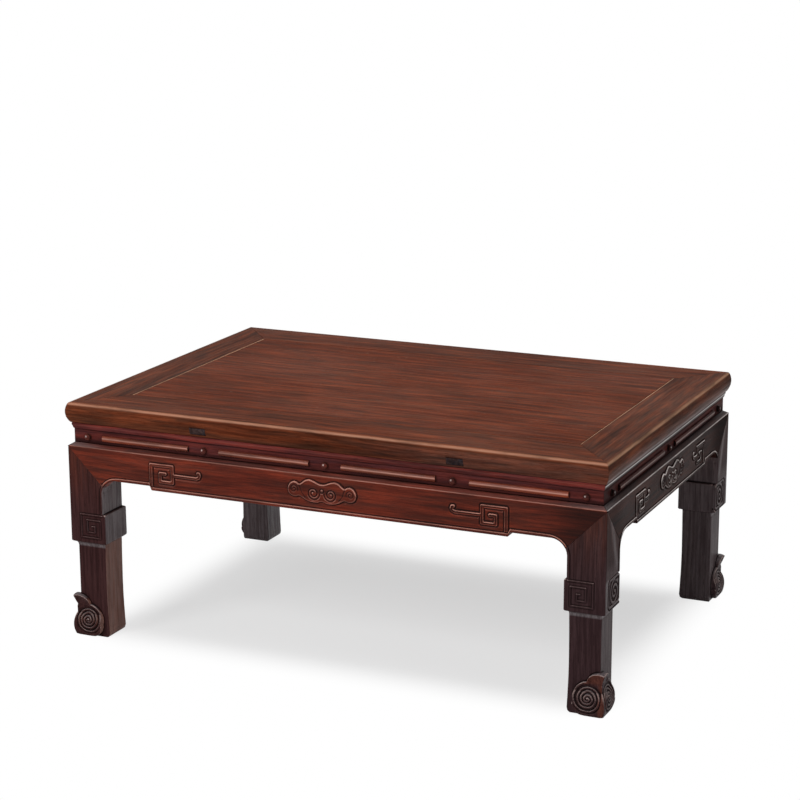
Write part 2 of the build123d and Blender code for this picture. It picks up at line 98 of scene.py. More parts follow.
def rosewood(
    name, grain, dark, light, worn_and_painted_light, seed, rough=0.34, gloss=0.08, scratches=0.0, foot=None
):
    """Waxed rosewood, grain along one axis: streaks, pores, dull hollows, worn edges, painted light
    and shade.

    foot is the colour it darkens to from 0.34 m down to 0.18 m above the floor.
    """
    material = bpy.data.materials.new(name)
    material.use_nodes = True
    tree = material.node_tree
    shader = tree.nodes["Principled BSDF"]
    place = add_node(tree, "ShaderNodeTexCoord").outputs["Object"]
    moved = add_node(tree, "ShaderNodeMapping", {"Vector": place, "Location": (seed, seed, seed)})

    def noise(along, across, detail, sway=0.0):
        """Noise drawn out along the grain, at so many features to the metre."""
        scale = [across + (along - across) * share for share in GRAIN[grain]]
        vector = moved.outputs[0]
        if sway:
            wave = add_node(
                tree, "ShaderNodeTexNoise", {"Vector": vector, "Scale": 3.1, "Detail": 2.0}
            )
            vector = add_node(
                tree,
                "ShaderNodeVectorMath",
                {0: wave.outputs["Color"], 1: (sway, sway, sway), 2: vector},
                operation="MULTIPLY_ADD",
            ).outputs[0]
        drawn = add_node(tree, "ShaderNodeMapping", {"Vector": vector, "Scale": scale})
        return add_node(
            tree,
            "ShaderNodeTexNoise",
            {"Vector": drawn.outputs[0], "Scale": 1.0, "Detail": detail, "Roughness": 0.6},
        ).outputs["Fac"]

    bands = noise(2.2, 70.0, 5.0, sway=0.04)
    streaks = noise(9.0, 240.0, 4.0, sway=0.015)
    hues = noise(14.0, 130.0, 4.0, sway=0.02)
    fibres = noise(26.0, 900.0, 3.0)
    pores = noise(70.0, 2300.0, 2.0)
    patches = noise(3.0, 5.0, 3.0)

    # Ground colour: broad bands, then warmer and duller streaks, then the greyer foot
    cool, warm = (0.78, 0.92, 1.0, 1.0), (1.28, 1.12, 0.96, 1.0)
    colour = blend_colours(tree, "MIX", ramp(tree, bands, 0.30, 0.68), dark, light)
    tint = blend_colours(tree, "MIX", ramp(tree, hues, 0.36, 0.62), cool, warm)
    colour = blend_colours(tree, "MULTIPLY", 1.0, colour, tint)
    if foot:
        height = add_node(tree, "ShaderNodeSeparateXYZ", {"Vector": place}).outputs["Z"]
        colour = blend_colours(tree, "MIX", ramp(tree, height, 0.34, 0.18), colour, foot)

    # Sheen attribute: a warmer brown below zero, a painted grey sheen (a painted reflection) above
    # zero
    warm_brown, painted_sheen = (0.17, 0.052, 0.028, 1.0), (0.45, 0.44, 0.45, 1.0)
    painted_sheen_and_brown = add_node(tree, "ShaderNodeAttribute", attribute_name="painted_sheen_and_brown").outputs["Fac"]
    # The warmer brown is painted light where it lifts faces that lie in shade
    colour = blend_colours(tree, "MIX", ramp(tree, painted_sheen_and_brown, 0.0, -1.0), colour, warm_brown)
    colour = blend_colours(tree, "MIX", painted_sheen_and_brown, colour, painted_sheen)

    # Grain drawn over both: each layer darkens the wood where its noise is low
    for layer, clear, full, share, shade in (
        (streaks, 0.62, 0.36, 0.7, (0.45, 0.40, 0.40, 1.0)),
        (fibres, 0.60, 0.34, 0.55, (0.55, 0.48, 0.45, 1.0)),
        (pores, 0.42, 0.30, 0.8, (0.25, 0.2, 0.2, 1.0)),
        (patches, 0.58, 0.38, 0.5, (0.68, 0.62, 0.64, 1.0)),
    ):
        layer_share = ramp(tree, layer, clear, full, 0.0, share)
        colour = blend_colours(tree, "MULTIPLY", layer_share, colour, shade)

    # Edges rubbed light and painted highlights, dirt and painted shade in the hollows, scratches
    dirt_and_painted_shade, bare_wood = (0.004, 0.0022, 0.002, 1.0), (0.36, 0.24, 0.18, 1.0)
    wear_and_painted_light = add_node(tree, "ShaderNodeAttribute", attribute_name="wear_and_painted_light").outputs["Fac"]
    broken_up = ramp(tree, hues, 0.3, 0.6, 0.45, 1.0)
    rubbed_and_painted_light = combine(tree, "MULTIPLY", ramp(tree, wear_and_painted_light, 0.05, 1.0), broken_up)
    colour = blend_colours(tree, "MIX", rubbed_and_painted_light, colour, worn_and_painted_light)
    colour = blend_colours(tree, "MIX", ramp(tree, wear_and_painted_light, -0.04, -0.9, 0.0, 0.9), colour, dirt_and_painted_shade)
    if scratches:
        marks = ramp(tree, noise(80.0, 460.0, 2.0, sway=0.3), 0.69, 0.74, 0.0, scratches)
        colour = blend_colours(tree, "MIX", marks, colour, bare_wood)
    tree.links.new(colour, shader.inputs["Base Color"])

    # Wax that lies unevenly, dull in the hollows
    waxed = ramp(tree, patches, 0.3, 0.7, rough + 0.06, rough - 0.05)
    dusty = ramp(tree, wear_and_painted_light, 0.0, -0.8, 0.0, 0.3)
    tree.links.new(combine(tree, "ADD", waxed, dusty), shader.inputs["Roughness"])
    shader.inputs["Specular IOR Level"].default_value = gloss

    # Open pores and the slight waves that the plane left
    relief = combine(tree, "ADD", fibres, ramp(tree, pores, 0.42, 0.30, 0.0, -0.8))
    fine = add_node(
        tree, "ShaderNodeBump", {"Height": relief, "Strength": 0.35, "Distance": 0.0002}
    )
    planed = add_node(
        tree,
        "ShaderNodeBump",
        {"Height": bands, "Strength": 0.3, "Distance": 0.0012, "Normal": fine.outputs[0]},
    )
    tree.links.new(planed.outputs[0], shader.inputs["Normal"])
    return material


def make_piece(name, points, faces, wear_and_painted_light, material, stands_for, painted_sheen_and_brown=None):
    """A mesh in millimetres that rides on the table in place of its CAD node.

    wear is 1 on edges rubbed light and on painted highlights, and -1 in dull hollows and in painted
    shade. shine is the share of a painted grey sheen where positive, and of a warmer brown where
    negative.
    """
    mesh = bpy.data.meshes.new(name)
    faces = [np.asarray(group) for group in faces if len(group)]
    corners = np.concatenate([group.ravel() for group in faces])
    sizes = np.concatenate([np.full(len(group), group.shape[1]) for group in faces])
    mesh.vertices.add(len(points))
    mesh.vertices.foreach_set("co", (np.asarray(points, float) * MM).ravel())
    mesh.loops.add(len(corners))
    mesh.loops.foreach_set("vertex_index", corners.astype(np.int32))
    mesh.polygons.add(len(sizes))
    mesh.polygons.foreach_set("loop_start", (np.cumsum(sizes) - sizes).astype(np.int32))
    mesh.update(calc_edges=True)
    mesh.shade_smooth()
    worn_and_painted_light = mesh.attributes.new("wear_and_painted_light", "FLOAT", "POINT")
    worn_and_painted_light.data.foreach_set("value", np.asarray(wear_and_painted_light, np.float32))
    if painted_sheen_and_brown is not None:
        painted_sheen = mesh.attributes.new("painted_sheen_and_brown", "FLOAT", "POINT")
        painted_sheen.data.foreach_set("value", np.asarray(painted_sheen_and_brown, np.float32))
    mesh.materials.append(material)
    piece = bpy.data.objects.new(name, mesh)
    bpy.context.scene.collection.objects.link(piece)
    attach(piece, "root")
    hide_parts(stands_for)
    return piece


def even_normals(piece):
    """Flat faces keep their flat shading next to small rounded edges."""
    modifier = piece.modifiers.new("even normals", "WEIGHTED_NORMAL")
    modifier.keep_sharp = True


def step(low, high, value):
    """Smooth step from 0 at low to 1 at high."""
    share = np.clip((value - low) / (high - low), 0.0, 1.0)
    return share * share * (3.0 - 2.0 * share)


def tube_faces(rows, count):
    """Faces of a tube of closed rings: the quads round it and its two ends."""
    grid = np.arange(rows * count).reshape(rows, count)
    beside = np.roll(grid, -1, axis=1)
    quads = np.stack([grid[:-1], beside[:-1], beside[1:], grid[1:]], axis=2)
    return quads.reshape(-1, 4), grid[:1, ::-1], grid[-1:]


def on_side(along, depth, height, quarter):
    """Points drawn on the front side, turned by so many quarter turns to another side."""
    x, y = along, depth
    for _ in range(quarter):
        x, y = -y, x
    return np.stack([x, y, height], axis=1)


# A member's cut end is eased by a last ring, a little shrunk. Tenon ends lie a little deep.
END_EASE, END_SHRINK = 0.5, 0.35
POCKET_DEPTH, POCKET_REACH = 1.2, 20.0


def swept(profile, half_length, run, steps, turn, pockets=()):
    """Mitred member: a closed section (inset, height, painted light and wear) drawn along a side of
    the table.

    half_length is that of its outer corner and run what it loses for each depth inwards.
    turn places it: (distance of the outer face, quarter turns from the front).
    A pocket (first, last, bottom, top) shows the tenon end that fills a mortise in its edge.
    """
    profile = np.array(profile, float)
    middle = profile[:, :2].mean(axis=0)
    shares = [-1.0, *np.linspace(-1.0, 1.0, steps), 1.0]
    for first, last, _, _ in pockets:
        shares += [place / half_length for place in (first - 0.1, first, last, last + 0.1)]
    shares = np.sort(shares)
    points, wear_and_painted_light = [], []
    for index, share in enumerate(shares):
        at_end = index in (0, len(shares) - 1)
        section = profile[:, :2].copy()
        if at_end:
            away = section - middle
            section -= END_SHRINK * away / np.maximum(np.linalg.norm(away, axis=1), 1e-6)[:, None]
        along = share * (half_length - (0.0 if at_end else END_EASE))
        along = along - share**3 * abs(share) * profile[:, 0] * run
        rubbed_and_painted_light = np.where(at_end, 0.15, profile[:, 2])
        for first, last, bottom, top in pockets:
            if first - 0.05 < share * half_length < last + 0.05:
                hole = (section[:, 1] > bottom) & (section[:, 1] < top)
                hole = hole & (section[:, 0] < POCKET_REACH)
                section[:, 0] += np.where(hole, POCKET_DEPTH, 0.0)
                rubbed_and_painted_light = np.where(hole, -0.4, rubbed_and_painted_light)
        points.append(np.stack([along, section[:, 0], section[:, 1]], axis=1))
        wear_and_painted_light.append(rubbed_and_painted_light)
    along, inset, height = np.concatenate(points).T
    distance, quarter = turn
    placed = on_side(along, inset - distance, height, quarter)
    return placed, list(tube_faces(len(points), len(profile))), np.concatenate(wear_and_painted_light)


def corners_of(node):
    """Lower and upper corner of a CAD node's box, in millimetres to the tenth."""
    return [[round(side / MM, 1) for side in corner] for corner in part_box(node)]


long_low, long_high = corners_of("frame_long_front")
end_low, end_high = corners_of("frame_end_left")
HALF_LENGTH, HALF_DEPTH = long_high[0], end_high[1]
TOP, FRAME_BOTTOM = long_high[2], long_low[2]
LONG_WIDTH = long_high[1] - long_low[1]
END_WIDTH = end_high[0] - end_low[0]


def sides_of(for_long, for_end):
    """The four sides in turn, each with what its kind needs: a long side or an end."""
    for quarter, side in enumerate(("front", "right", "back", "left")):
        yield quarter, side, for_end if quarter % 2 else for_long


TENON_END_WIDTH = 26.2
TENON_END_BOTTOM, TENON_END_TOP = 340.9, 351.1
batten_low, batten_high = corners_of("batten_right")
BATTEN_PLACE = (batten_low[0] + batten_high[0]) / 2
TENON_ENDS = [
    (
        side * BATTEN_PLACE - TENON_END_WIDTH / 2, side * BATTEN_PLACE + TENON_END_WIDTH / 2,
        TENON_END_BOTTOM, TENON_END_TOP,
    )
    for side in (-1, 1)
]


def frame_section(width, scale, joint):
    """Section of a frame member from its lower inner corner, round the bulge, to the panel.

    The edge is a list of (inset, drop from the top, wear), with painted shade low on the bulge.
    joint is the wear of its edge along the panel.
    """
    edge = [
        (7.4, 31.0, -0.5), (6.2, 30.8, -0.1), (5.4, 30.0, 0.1), (3.9, 28.0, 0.17),
        (3.35, 27.05, 0.17), (3.25, 26.85, 0.17), (2.2, 24.6, 0.14), (1.0, 21.6, 0.08),
        (0.2, 17.15, 0.0), (0.15, 16.95, 0.0), (0.0, 14.5, 0.05), (0.2, 11.0, 0.05),
        (0.9, 7.4, 0.0), (1.9, 4.4, 0.1), (2.5, 3.1, 0.4), (2.9, 2.3, 0.62), (3.8, 1.1, 0.55),
        (4.9, 0.35, 0.4), (6.6, 0.0, 0.18), (11.0, 0.0, 0.08),
    ]
    section = [(width, FRAME_BOTTOM, 0.0)]
    section += [(inset * scale, TOP - drop, wear_and_painted_light) for inset, drop, wear_and_painted_light in edge]
    section += [(width * 0.5, TOP, 0.0), (width - 1.7, TOP, 0.0), (width - 1.3, TOP, joint)]
    section += [(width - 0.5, TOP, joint), (width, TOP - 0.6, -0.5)]
    return section


EDGE_DEPTH = 8.0


def long_painted_sheen(x, y, level):
    """Faint painted sheen on the outer edge of a long member, growing towards one end."""
    painted_sheen = 0.04 * step(0.0, 220.0, x * np.sign(-y)) * step(364.0, 358.0, level)
    return painted_sheen * (abs(y) > HALF_DEPTH - EDGE_DEPTH)


def end_painted_sheen(x, level):
    """Painted sheen on the outer edge of an end member: a weak band and a strong one low down."""
    painted_sheen = 0.1 * step(357.0, 350.0, level) + 0.38 * step(345.0, 341.5, level)
    return painted_sheen * step(337.5, 338.5, level) * (abs(x) > HALF_LENGTH - EDGE_DEPTH)


long_wood = rosewood(
    "rosewood frame long", "X", (0.075, 0.0225, 0.0115, 1), (0.150, 0.043, 0.0205, 1),
    (0.50, 0.25, 0.16, 1), 3.7, gloss=0.003,
)
end_wood = rosewood(
    "rosewood frame end", "Y", (0.068, 0.024, 0.014, 1), (0.128, 0.044, 0.025, 1),
    (0.46, 0.26, 0.16, 1), 9.1, gloss=0.003,
)
for quarter, side, kind in sides_of("long", "end"):
    name = f"frame_{kind}_{side}"
    if kind == "long":
        wood = long_wood
        points, faces, rubbed_and_painted_light = swept(
            frame_section(LONG_WIDTH, 1.0, -0.3), HALF_LENGTH, END_WIDTH / LONG_WIDTH, 60,
            (HALF_DEPTH, quarter), TENON_ENDS,
        )
        # Towards one end of the long member's outer edge: a faint painted sheen and painted shade
        painted_sheen = long_painted_sheen(*points.T)
        rubbed_and_painted_light = rubbed_and_painted_light - 7.0 * painted_sheen
    else:
        wood = end_wood
        points, faces, rubbed_and_painted_light = swept(
            frame_section(END_WIDTH, END_WIDTH / LONG_WIDTH, 0.85), HALF_DEPTH,
            LONG_WIDTH / END_WIDTH, 45, (HALF_LENGTH, quarter),
        )
        # Painted sheen on the end member's outer edge
        painted_sheen = end_painted_sheen(points[:, 0], points[:, 2])
    piece = make_piece(f"top.{name}", points, faces, rubbed_and_painted_light, wood, name, painted_sheen)
    even_normals(piece)

# Panel and battens ----------------------------------------------------------------------
# One wide rosewood board that floats in the frame's groove, its face flush with the frame.
# Two battens lie dovetailed across its underside; their tenon ends show in the long edges.

panel_wood = rosewood(
    "rosewood panel", "X", (0.090, 0.0225, 0.010, 1), (0.148, 0.038, 0.0165, 1),
    (0.42, 0.17, 0.08, 1), 14.3, gloss=0.003, scratches=0.3,
)
batten_wood = rosewood(
    "rosewood batten", "Y", (0.028, 0.020, 0.022, 1), (0.060, 0.042, 0.044, 1),
    (0.10, 0.05, 0.03, 1), 21.9, rough=0.5, gloss=0.0,
)


def dress_node(node, material, bevel):
    """A CAD node keeps its shape and gets a small rounded edge and its wood."""
    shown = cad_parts[node]
    shown.data.materials.clear()
    shown.data.materials.append(material)
    weld = shown.modifiers.new("weld", "WELD")
    weld.merge_threshold = 0.00001
    edge = shown.modifiers.new("edge", "BEVEL")
    edge.width = bevel * MM
    edge.segments = 2
    edge.limit_method = "ANGLE"
    edge.harden_normals = True


dress_node("top_panel", panel_wood, 0.4)
for side in ("left", "right"):
    dress_node(f"batten_{side}", batten_wood, 0.3)

# Moulding under the frame ---------------------------------------------------------------
# Thin rosewood strips with a small lip and a hollow below it, mitred at the corners.
# They are planed to shape and glued between the frame and the waist. Their lower edge is
# drawn 1.6 below the solid's, over the top of the waist board.

MOULDING_BOTTOM = 327.4
BOARD_DEPTH = 24.0
# The end sides get a stronger lip: a near-white painted highlight, and deeper painted shade
END_PAINTED_LIGHT_GAIN = 2.6
apron_low, apron_high = corners_of("apron_front")
LEG_X, LEG_Y = apron_high[0], -apron_low[1]
# (inset, height, wear): painted shade under the frame and at the foot, a lighter lip
MOULDING_SECTION = [
    (BOARD_DEPTH, MOULDING_BOTTOM, 0.0), (8.0, MOULDING_BOTTOM, -0.7), (7.2, 327.7, -0.4),
    (6.7, 328.5, 0.0), (6.3, 330.0, 0.05), (5.9, 331.5, 0.1), (5.5, 332.5, 0.15),
    (5.1, 333.2, 0.3), (5.0, 334.0, 0.2), (5.0, 335.6, 0.0), (5.3, 336.5, -0.3),
    (6.0, FRAME_BOTTOM, -0.8), (BOARD_DEPTH, FRAME_BOTTOM, 0.0),
]
END_MOULDING_SECTION = [
    (inset, level, min(rubbed_and_painted_light * END_PAINTED_LIGHT_GAIN, 1.0)) for inset, level, rubbed_and_painted_light in MOULDING_SECTION
]
moulding_wood = rosewood(
    "rosewood moulding", "X", (0.082, 0.0175, 0.016, 1), (0.185, 0.036, 0.032, 1),
    (0.34, 0.15, 0.12, 1), 31.0, gloss=0.03,
)
# A shaded copy for the end sides: darker wood, near-white worn colour for the painted highlight
shaded_moulding_end_wood = rosewood(
    "rosewood moulding end shaded", "Y", (0.034, 0.015, 0.014, 1), (0.062, 0.026, 0.024, 1),
    (0.85, 0.82, 0.80, 1), 34.0, gloss=0.02,
)
for quarter, side, (section, reach, distance, wood) in sides_of(
    (MOULDING_SECTION, LEG_X, LEG_Y, moulding_wood),
    (END_MOULDING_SECTION, LEG_Y, LEG_X, shaded_moulding_end_wood),
):
    points, faces, wear_and_painted_light = swept(section, reach, 1.0, 50, (distance, quarter))
    piece = make_piece(
        f"moulding.{side}", points, faces, wear_and_painted_light, wood, f"moulding_{side}"
    )
    even_normals(piece)

# Waist boards ---------------------------------------------------------------------------
# Low upright boards that stand back from the aprons, tongued into the moulding above and
# the aprons below. Their faces are dark, with painted shade under the moulding and below the bars.

APRON_TOP = apron_high[2]
WAIST_SETBACK = round(LEG_Y + corners_of("waist_front")[0][1], 1)
# (height, wear): painted shade in a band below the bars and under the moulding
WAIST_FACE = [
    (APRON_TOP, -0.8), (308.0, -0.6), (311.0, -0.5), (313.0, -0.2), (315.5, 0.0), (324.5, 0.0),
    (326.3, -0.45), (MOULDING_BOTTOM, -0.5),
]
WAIST_SECTION = [
    (BOARD_DEPTH, APRON_TOP, 0.0),
    *((WAIST_SETBACK, level, wear_and_painted_light) for level, wear_and_painted_light in WAIST_FACE),
    (BOARD_DEPTH, MOULDING_BOTTOM, 0.0),
]
waist_wood = rosewood(
    "rosewood waist", "X", (0.052, 0.0115, 0.0125, 1), (0.135, 0.030, 0.028, 1),
    (0.26, 0.10, 0.07, 1), 40.4, rough=0.4, gloss=0.05,
)
# A shaded copy for the end sides: darker wood
shaded_waist_end_wood = rosewood(
    "rosewood waist end shaded", "Y", (0.038, 0.012, 0.012, 1), (0.085, 0.024, 0.022, 1),
    (0.26, 0.12, 0.10, 1), 43.0, rough=0.4, gloss=0.01,
)
for quarter, side, (reach, distance, wood) in sides_of(
    (LEG_X, LEG_Y, waist_wood), (LEG_Y, LEG_X, shaded_waist_end_wood)
):
    points, faces, wear_and_painted_light = swept(WAIST_SECTION, reach, 1.0, 50, (distance, quarter))
    piece = make_piece(
        f"waist.{side}", points, faces, wear_and_painted_light, wood, f"waist_{side}"
    )
    even_normals(piece)

# Bars and bosses on the waist -----------------------------------------------------------
# Half-round rosewood bars glued to the waist boards, sawn square at their ends, and small
# turned bosses between them, each a ball on a base ring with a tenon in the board. Both are
# drawn 1.5 lower than the solids.

bar_wood = rosewood(
    "rosewood bars", "X", (0.120, 0.026, 0.014, 1), (0.240, 0.056, 0.030, 1),
    (0.62, 0.33, 0.26, 1), 52.6, rough=0.22, gloss=0.1,
)
# Shaded copies for the end sides' bars and bosses: darker wood, pale worn colours for painted
# highlights
shaded_bar_end_wood = rosewood(
    "rosewood bars end shaded", "Y", (0.042, 0.011, 0.010, 1), (0.080, 0.021, 0.018, 1),
    (0.70, 0.55, 0.50, 1), 54.1, rough=0.3, gloss=0.012,
)
shaded_boss_end_wood = rosewood(
    "rosewood bosses end shaded", "Y", (0.026, 0.011, 0.010, 1), (0.055, 0.020, 0.018, 1),
    (0.85, 0.76, 0.74, 1), 58.2, rough=0.3, gloss=0.012,
)
boss_wood = rosewood(
    "rosewood bosses", "X", (0.070, 0.016, 0.012, 1), (0.130, 0.030, 0.021, 1),
    (0.62, 0.48, 0.45, 1), 56.0, rough=0.3, gloss=0.06,
)
WAIST_MIDDLE = 316.0
BAR_HEIGHT, BAR_WIDTH = 4.0, 9.2
BAR_ARRIS, BAR_END = 0.5, 3.0
# (radius, height out, wear): painted shade at the base ring, under the ball and down its sides
BOSS_PROFILE = [
    (5.5, 0.0, -0.8), (5.5, 0.6, -0.4), (5.2, 1.1, -0.2), (4.5, 1.3, -0.9), (4.3, 1.7, -0.9),
    (4.75, 2.3, -0.7), (4.8, 3.0, -0.5), (4.5, 3.8, -0.3), (3.8, 4.6, -0.1), (2.7, 5.15, 0.0),
    (1.4, 5.45, 0.0), (0.3, 5.5, 0.0),
]
BOSS_RADIUS = BOSS_PROFILE[0][0]
BOSS_SIDES = 28


def draw_bar(centre, half_length):
    """Half-round bar with small rounded arrises at its sawn ends, as (along, out, height)."""
    angles = np.linspace(0.0, math.pi, 15)
    end_rows = [
        (half_length, 0.80, -0.9), (half_length, 0.92, -0.7),
        (half_length - BAR_ARRIS, 1.0, 0.0), (half_length - BAR_END, 1.0, 0.0),
    ]
    rows = [(-along, size, rubbed_and_painted_light) for along, size, rubbed_and_painted_light in end_rows] + end_rows[::-1]
    # Painted highlight along the bar's middle, painted shade at its top and along its lower edge
    bar_painted_light = 0.16 + 0.52 * np.exp(-(((angles - 1.4) / 0.2) ** 2))
    bar_painted_light = bar_painted_light - 0.16 * step(1.5, 2.3, angles) - 0.3 * step(2.7, 3.1, angles)
    bar_painted_light = bar_painted_light - 0.5 * step(0.35, 0.0, angles)
    points, wear_and_painted_light = [], []
    for along, size, rubbed_and_painted_light in rows:
        out = BAR_HEIGHT * size * np.sin(angles) ** 0.75
        height = WAIST_MIDDLE + BAR_WIDTH / 2 * size * np.cos(angles)
        points.append(np.stack([np.full(len(angles), centre + along), out, height], axis=1))
        wear_and_painted_light.append(np.where(rubbed_and_painted_light < 0, rubbed_and_painted_light, bar_painted_light))
    grid = np.arange(len(rows) * len(angles)).reshape(len(rows), len(angles))
    quads = np.stack([grid[:-1, :-1], grid[1:, :-1], grid[1:, 1:], grid[:-1, 1:]], axis=2)
    caps = [grid[:1], grid[-1:, ::-1]]
    return np.concatenate(points), [quads.reshape(-1, 4), *caps], np.concatenate(wear_and_painted_light)


def draw_boss(centre):
    """Turned boss: a ball on a base ring, with painted shade and a small painted glint, as (along,
    out, height).
    """
    angles = np.arange(BOSS_SIDES) * 2 * math.pi / BOSS_SIDES
    points = np.array(
        [
            (centre + radius * math.cos(a), out, WAIST_MIDDLE + radius * math.sin(a))
            for radius, out, _ in BOSS_PROFILE
            for a in angles
        ]
    )
    wear_and_painted_light = np.repeat([rubbed_and_painted_light for _, _, rubbed_and_painted_light in BOSS_PROFILE], BOSS_SIDES)
    # The painted glint at the ball's upper left
    off = np.hypot(points[:, 0] - centre + 1.2, points[:, 2] - WAIST_MIDDLE - 1.7)
    wear_and_painted_light += np.exp(-((off / 1.4) ** 2)) * (points[:, 1] > 2.9)
    quads, _, crown = tube_faces(len(BOSS_PROFILE), BOSS_SIDES)
    return points, [quads, crown], wear_and_painted_light


def joined(parts):
    """Several meshes of one kind as one."""
    points, groups, wear_and_painted_light, start = [], {}, [], 0
    for part_points, part_faces, part_wear in parts:
        points.append(part_points)
        wear_and_painted_light.append(part_wear)
        for group in part_faces:
            groups.setdefault(group.shape[1], []).append(group + start)
        start += len(part_points)
    faces = [np.concatenate(group) for group in groups.values()]
    return np.concatenate(points), faces, np.concatenate(wear_and_painted_light)


# The end sides get the shaded woods, and their painted highlights are made weaker by brightness
for quarter, side, (distance, boss_count, half_bar, brightness, woods) in sides_of(
    (LEG_Y, 5, 73.5, 1.0, (bar_wood, boss_wood)),
    (LEG_X, 3, 100.0, 0.65, (shaded_bar_end_wood, shaded_boss_end_wood)),
):
    first_boss, last_boss = (corner[quarter % 2] for corner in corners_of(f"bosses_{side}"))
    reach = (last_boss - first_boss) / 2 - BOSS_RADIUS
    boss_places = np.linspace(-reach, reach, boss_count)
    bar_places = (boss_places[1:] + boss_places[:-1]) / 2
    bars = joined([draw_bar(place, half_bar) for place in bar_places])
    bosses = joined([draw_boss(place) for place in boss_places])
    for kind, wood, (points, faces, wear_and_painted_light) in zip(("bars", "bosses"), woods, (bars, bosses)):
        along, out, height = points.T
        placed = on_side(along, WAIST_SETBACK - distance - out, height, quarter)
        wear_and_painted_light = np.where(wear_and_painted_light > 0.0, brightness * wear_and_painted_light, wear_and_painted_light)
        make_piece(f"{kind}.{side}", placed, faces, wear_and_painted_light, wood, f"{kind}_{side}")

# Aprons ---------------------------------------------------------------------------------
# Rosewood boards between the legs, with a sloping shoulder, a bead along the lower edge, a
# key fret near each end and a cloud in the middle, all carved in low relief from the board.

SHOULDER_TOP = 301.0
APRON_BOTTOM = 254.0
APRON_THICKNESS = round(apron_high[1] - apron_low[1], 1)
CORNER_RADIUS = 24.0
CORNER_CENTRE = (81.0, APRON_BOTTOM - CORNER_RADIUS)
MITRE_END = 59.8
MIDDLE_DROP = 6.5
CLOUD_OFFSET, CLOUD_REACH = -2.0, 61.0
FRET_MARGIN, FRET_REACH = 4.0, 48.0
ORNAMENT_GAP = 0.6
PLAIN_GAP = 3.2


def line_distance(path, a, b):
    """Distance of the points (a, b) from a line through the path's points."""
    found = np.full(np.shape(a), 1e6)
    for (a0, b0), (a1, b1) in zip(path[:-1], path[1:]):
        da, db = a1 - a0, b1 - b0
        share = np.clip(((a - a0) * da + (b - b0) * db) / (da * da + db * db), 0.0, 1.0)
        found = np.minimum(found, np.hypot(a - a0 - share * da, b - b0 - share * db))
    return found


def shape_distance(outline, a, b):
    """Signed distance from a closed outline, negative inside it."""
    closed = [*outline, outline[0]]
    inside = np.zeros(np.shape(a), bool)
    for (a0, b0), (a1, b1) in zip(closed[:-1], closed[1:]):
        if b0 != b1:
            crossing = (b0 > b) != (b1 > b)
            inside ^= crossing & (a < a0 + (b - b0) * (a1 - a0) / (b1 - b0))
    distance = line_distance(closed, a, b)
    return np.where(inside, -distance, distance)


def smooth_curve(points, steps):
    """Closed Catmull-Rom curve through the points."""
    p = np.array(points, float)
    before, after, next_after = np.roll(p, 1, 0), np.roll(p, -1, 0), np.roll(p, -2, 0)
    t = np.linspace(0.0, 1.0, steps, endpoint=False)[None, :, None]
    p0, p1, p2, p3 = (q[:, None, :] for q in (before, p, after, next_after))
    curve = 0.5 * (
        2 * p1
        + (p2 - p0) * t
        + (2 * p0 - 5 * p1 + 4 * p2 - p3) * t**2
        + (3 * p1 - p0 - 3 * p2 + p3) * t**3
    )
    return curve.reshape(-1, 2)


CLOUD_HALF = [
    (0.0, 289.3), (6.0, 290.5), (12.0, 293.0), (18.0, 294.8), (23.5, 294.6), (28.5, 292.2),
    (32.8, 288.6), (36.5, 286.9), (40.5, 289.2), (45.5, 289.8), (50.5, 287.0), (54.0, 281.5),
    (54.6, 275.5), (52.0, 270.3), (47.5, 267.6), (42.0, 267.0), (36.5, 268.6), (32.0, 266.8),
    (26.0, 263.6), (18.0, 261.4), (9.0, 261.0), (0.0, 263.4),
]
CLOUD = smooth_curve(CLOUD_HALF + [(-a, b) for a, b in CLOUD_HALF[-2:0:-1]], 3)
CLOUD_VALLEY = [(27.0, 268.0), (32.5, 274.5), (34.6, 281.0), (36.5, 286.0)]
CLOUD_BEAD = 279.6


def spiral(centre, start, pitch, first, last, side=1.0):
    """Points of a spiral whose radius grows by pitch a turn, angles in turns from the top."""
    turns = np.linspace(first, last, int(abs(last - first) * 28) + 2)
    radius = start + pitch * turns
    angle = math.pi / 2 + side * turns * 2 * math.pi
    return np.stack(
        [centre[0] + radius * np.cos(angle), centre[1] + radius * np.sin(angle)], axis=1
    )


def cloud_relief(a, b):
    """Cloud with a raised rim, two curled eyes, a curl at each end and a bead between."""
    edge = shape_distance(CLOUD, a, b)
    sunk = 1.1 * (1.0 - step(0.2, 5.5, edge)) * step(-0.6, 0.5, edge)
    height = 1.0 * step(0.5, -0.7, edge) + 0.55 * np.exp(-(((edge + 1.5) / 0.95) ** 2))
    side = np.abs(a)
    eye = line_distance(spiral((13.6, 274.9), 2.6, 4.3, 0.0, 1.75, -1.0), side, b)
    curl = line_distance(spiral((45.0, 278.3), 1.6, 3.9, 0.0, 1.3, 1.0), side, b)
    valley = line_distance(CLOUD_VALLEY, side, b)
    bead = np.hypot(a, b - CLOUD_BEAD)
    for line, cut, width, margin in (
        (eye, 1.25, 1.15, -2.0), (curl, 0.75, 0.95, -2.0), (valley, 0.6, 1.1, -1.5),
        (bead - 3.1, 0.9, 0.8, -2.0),
    ):
        height = height - cut * np.exp(-((line / width) ** 2)) * step(0.0, margin, edge)
    return height + 0.7 * step(2.8, 0.6, bead) - sunk


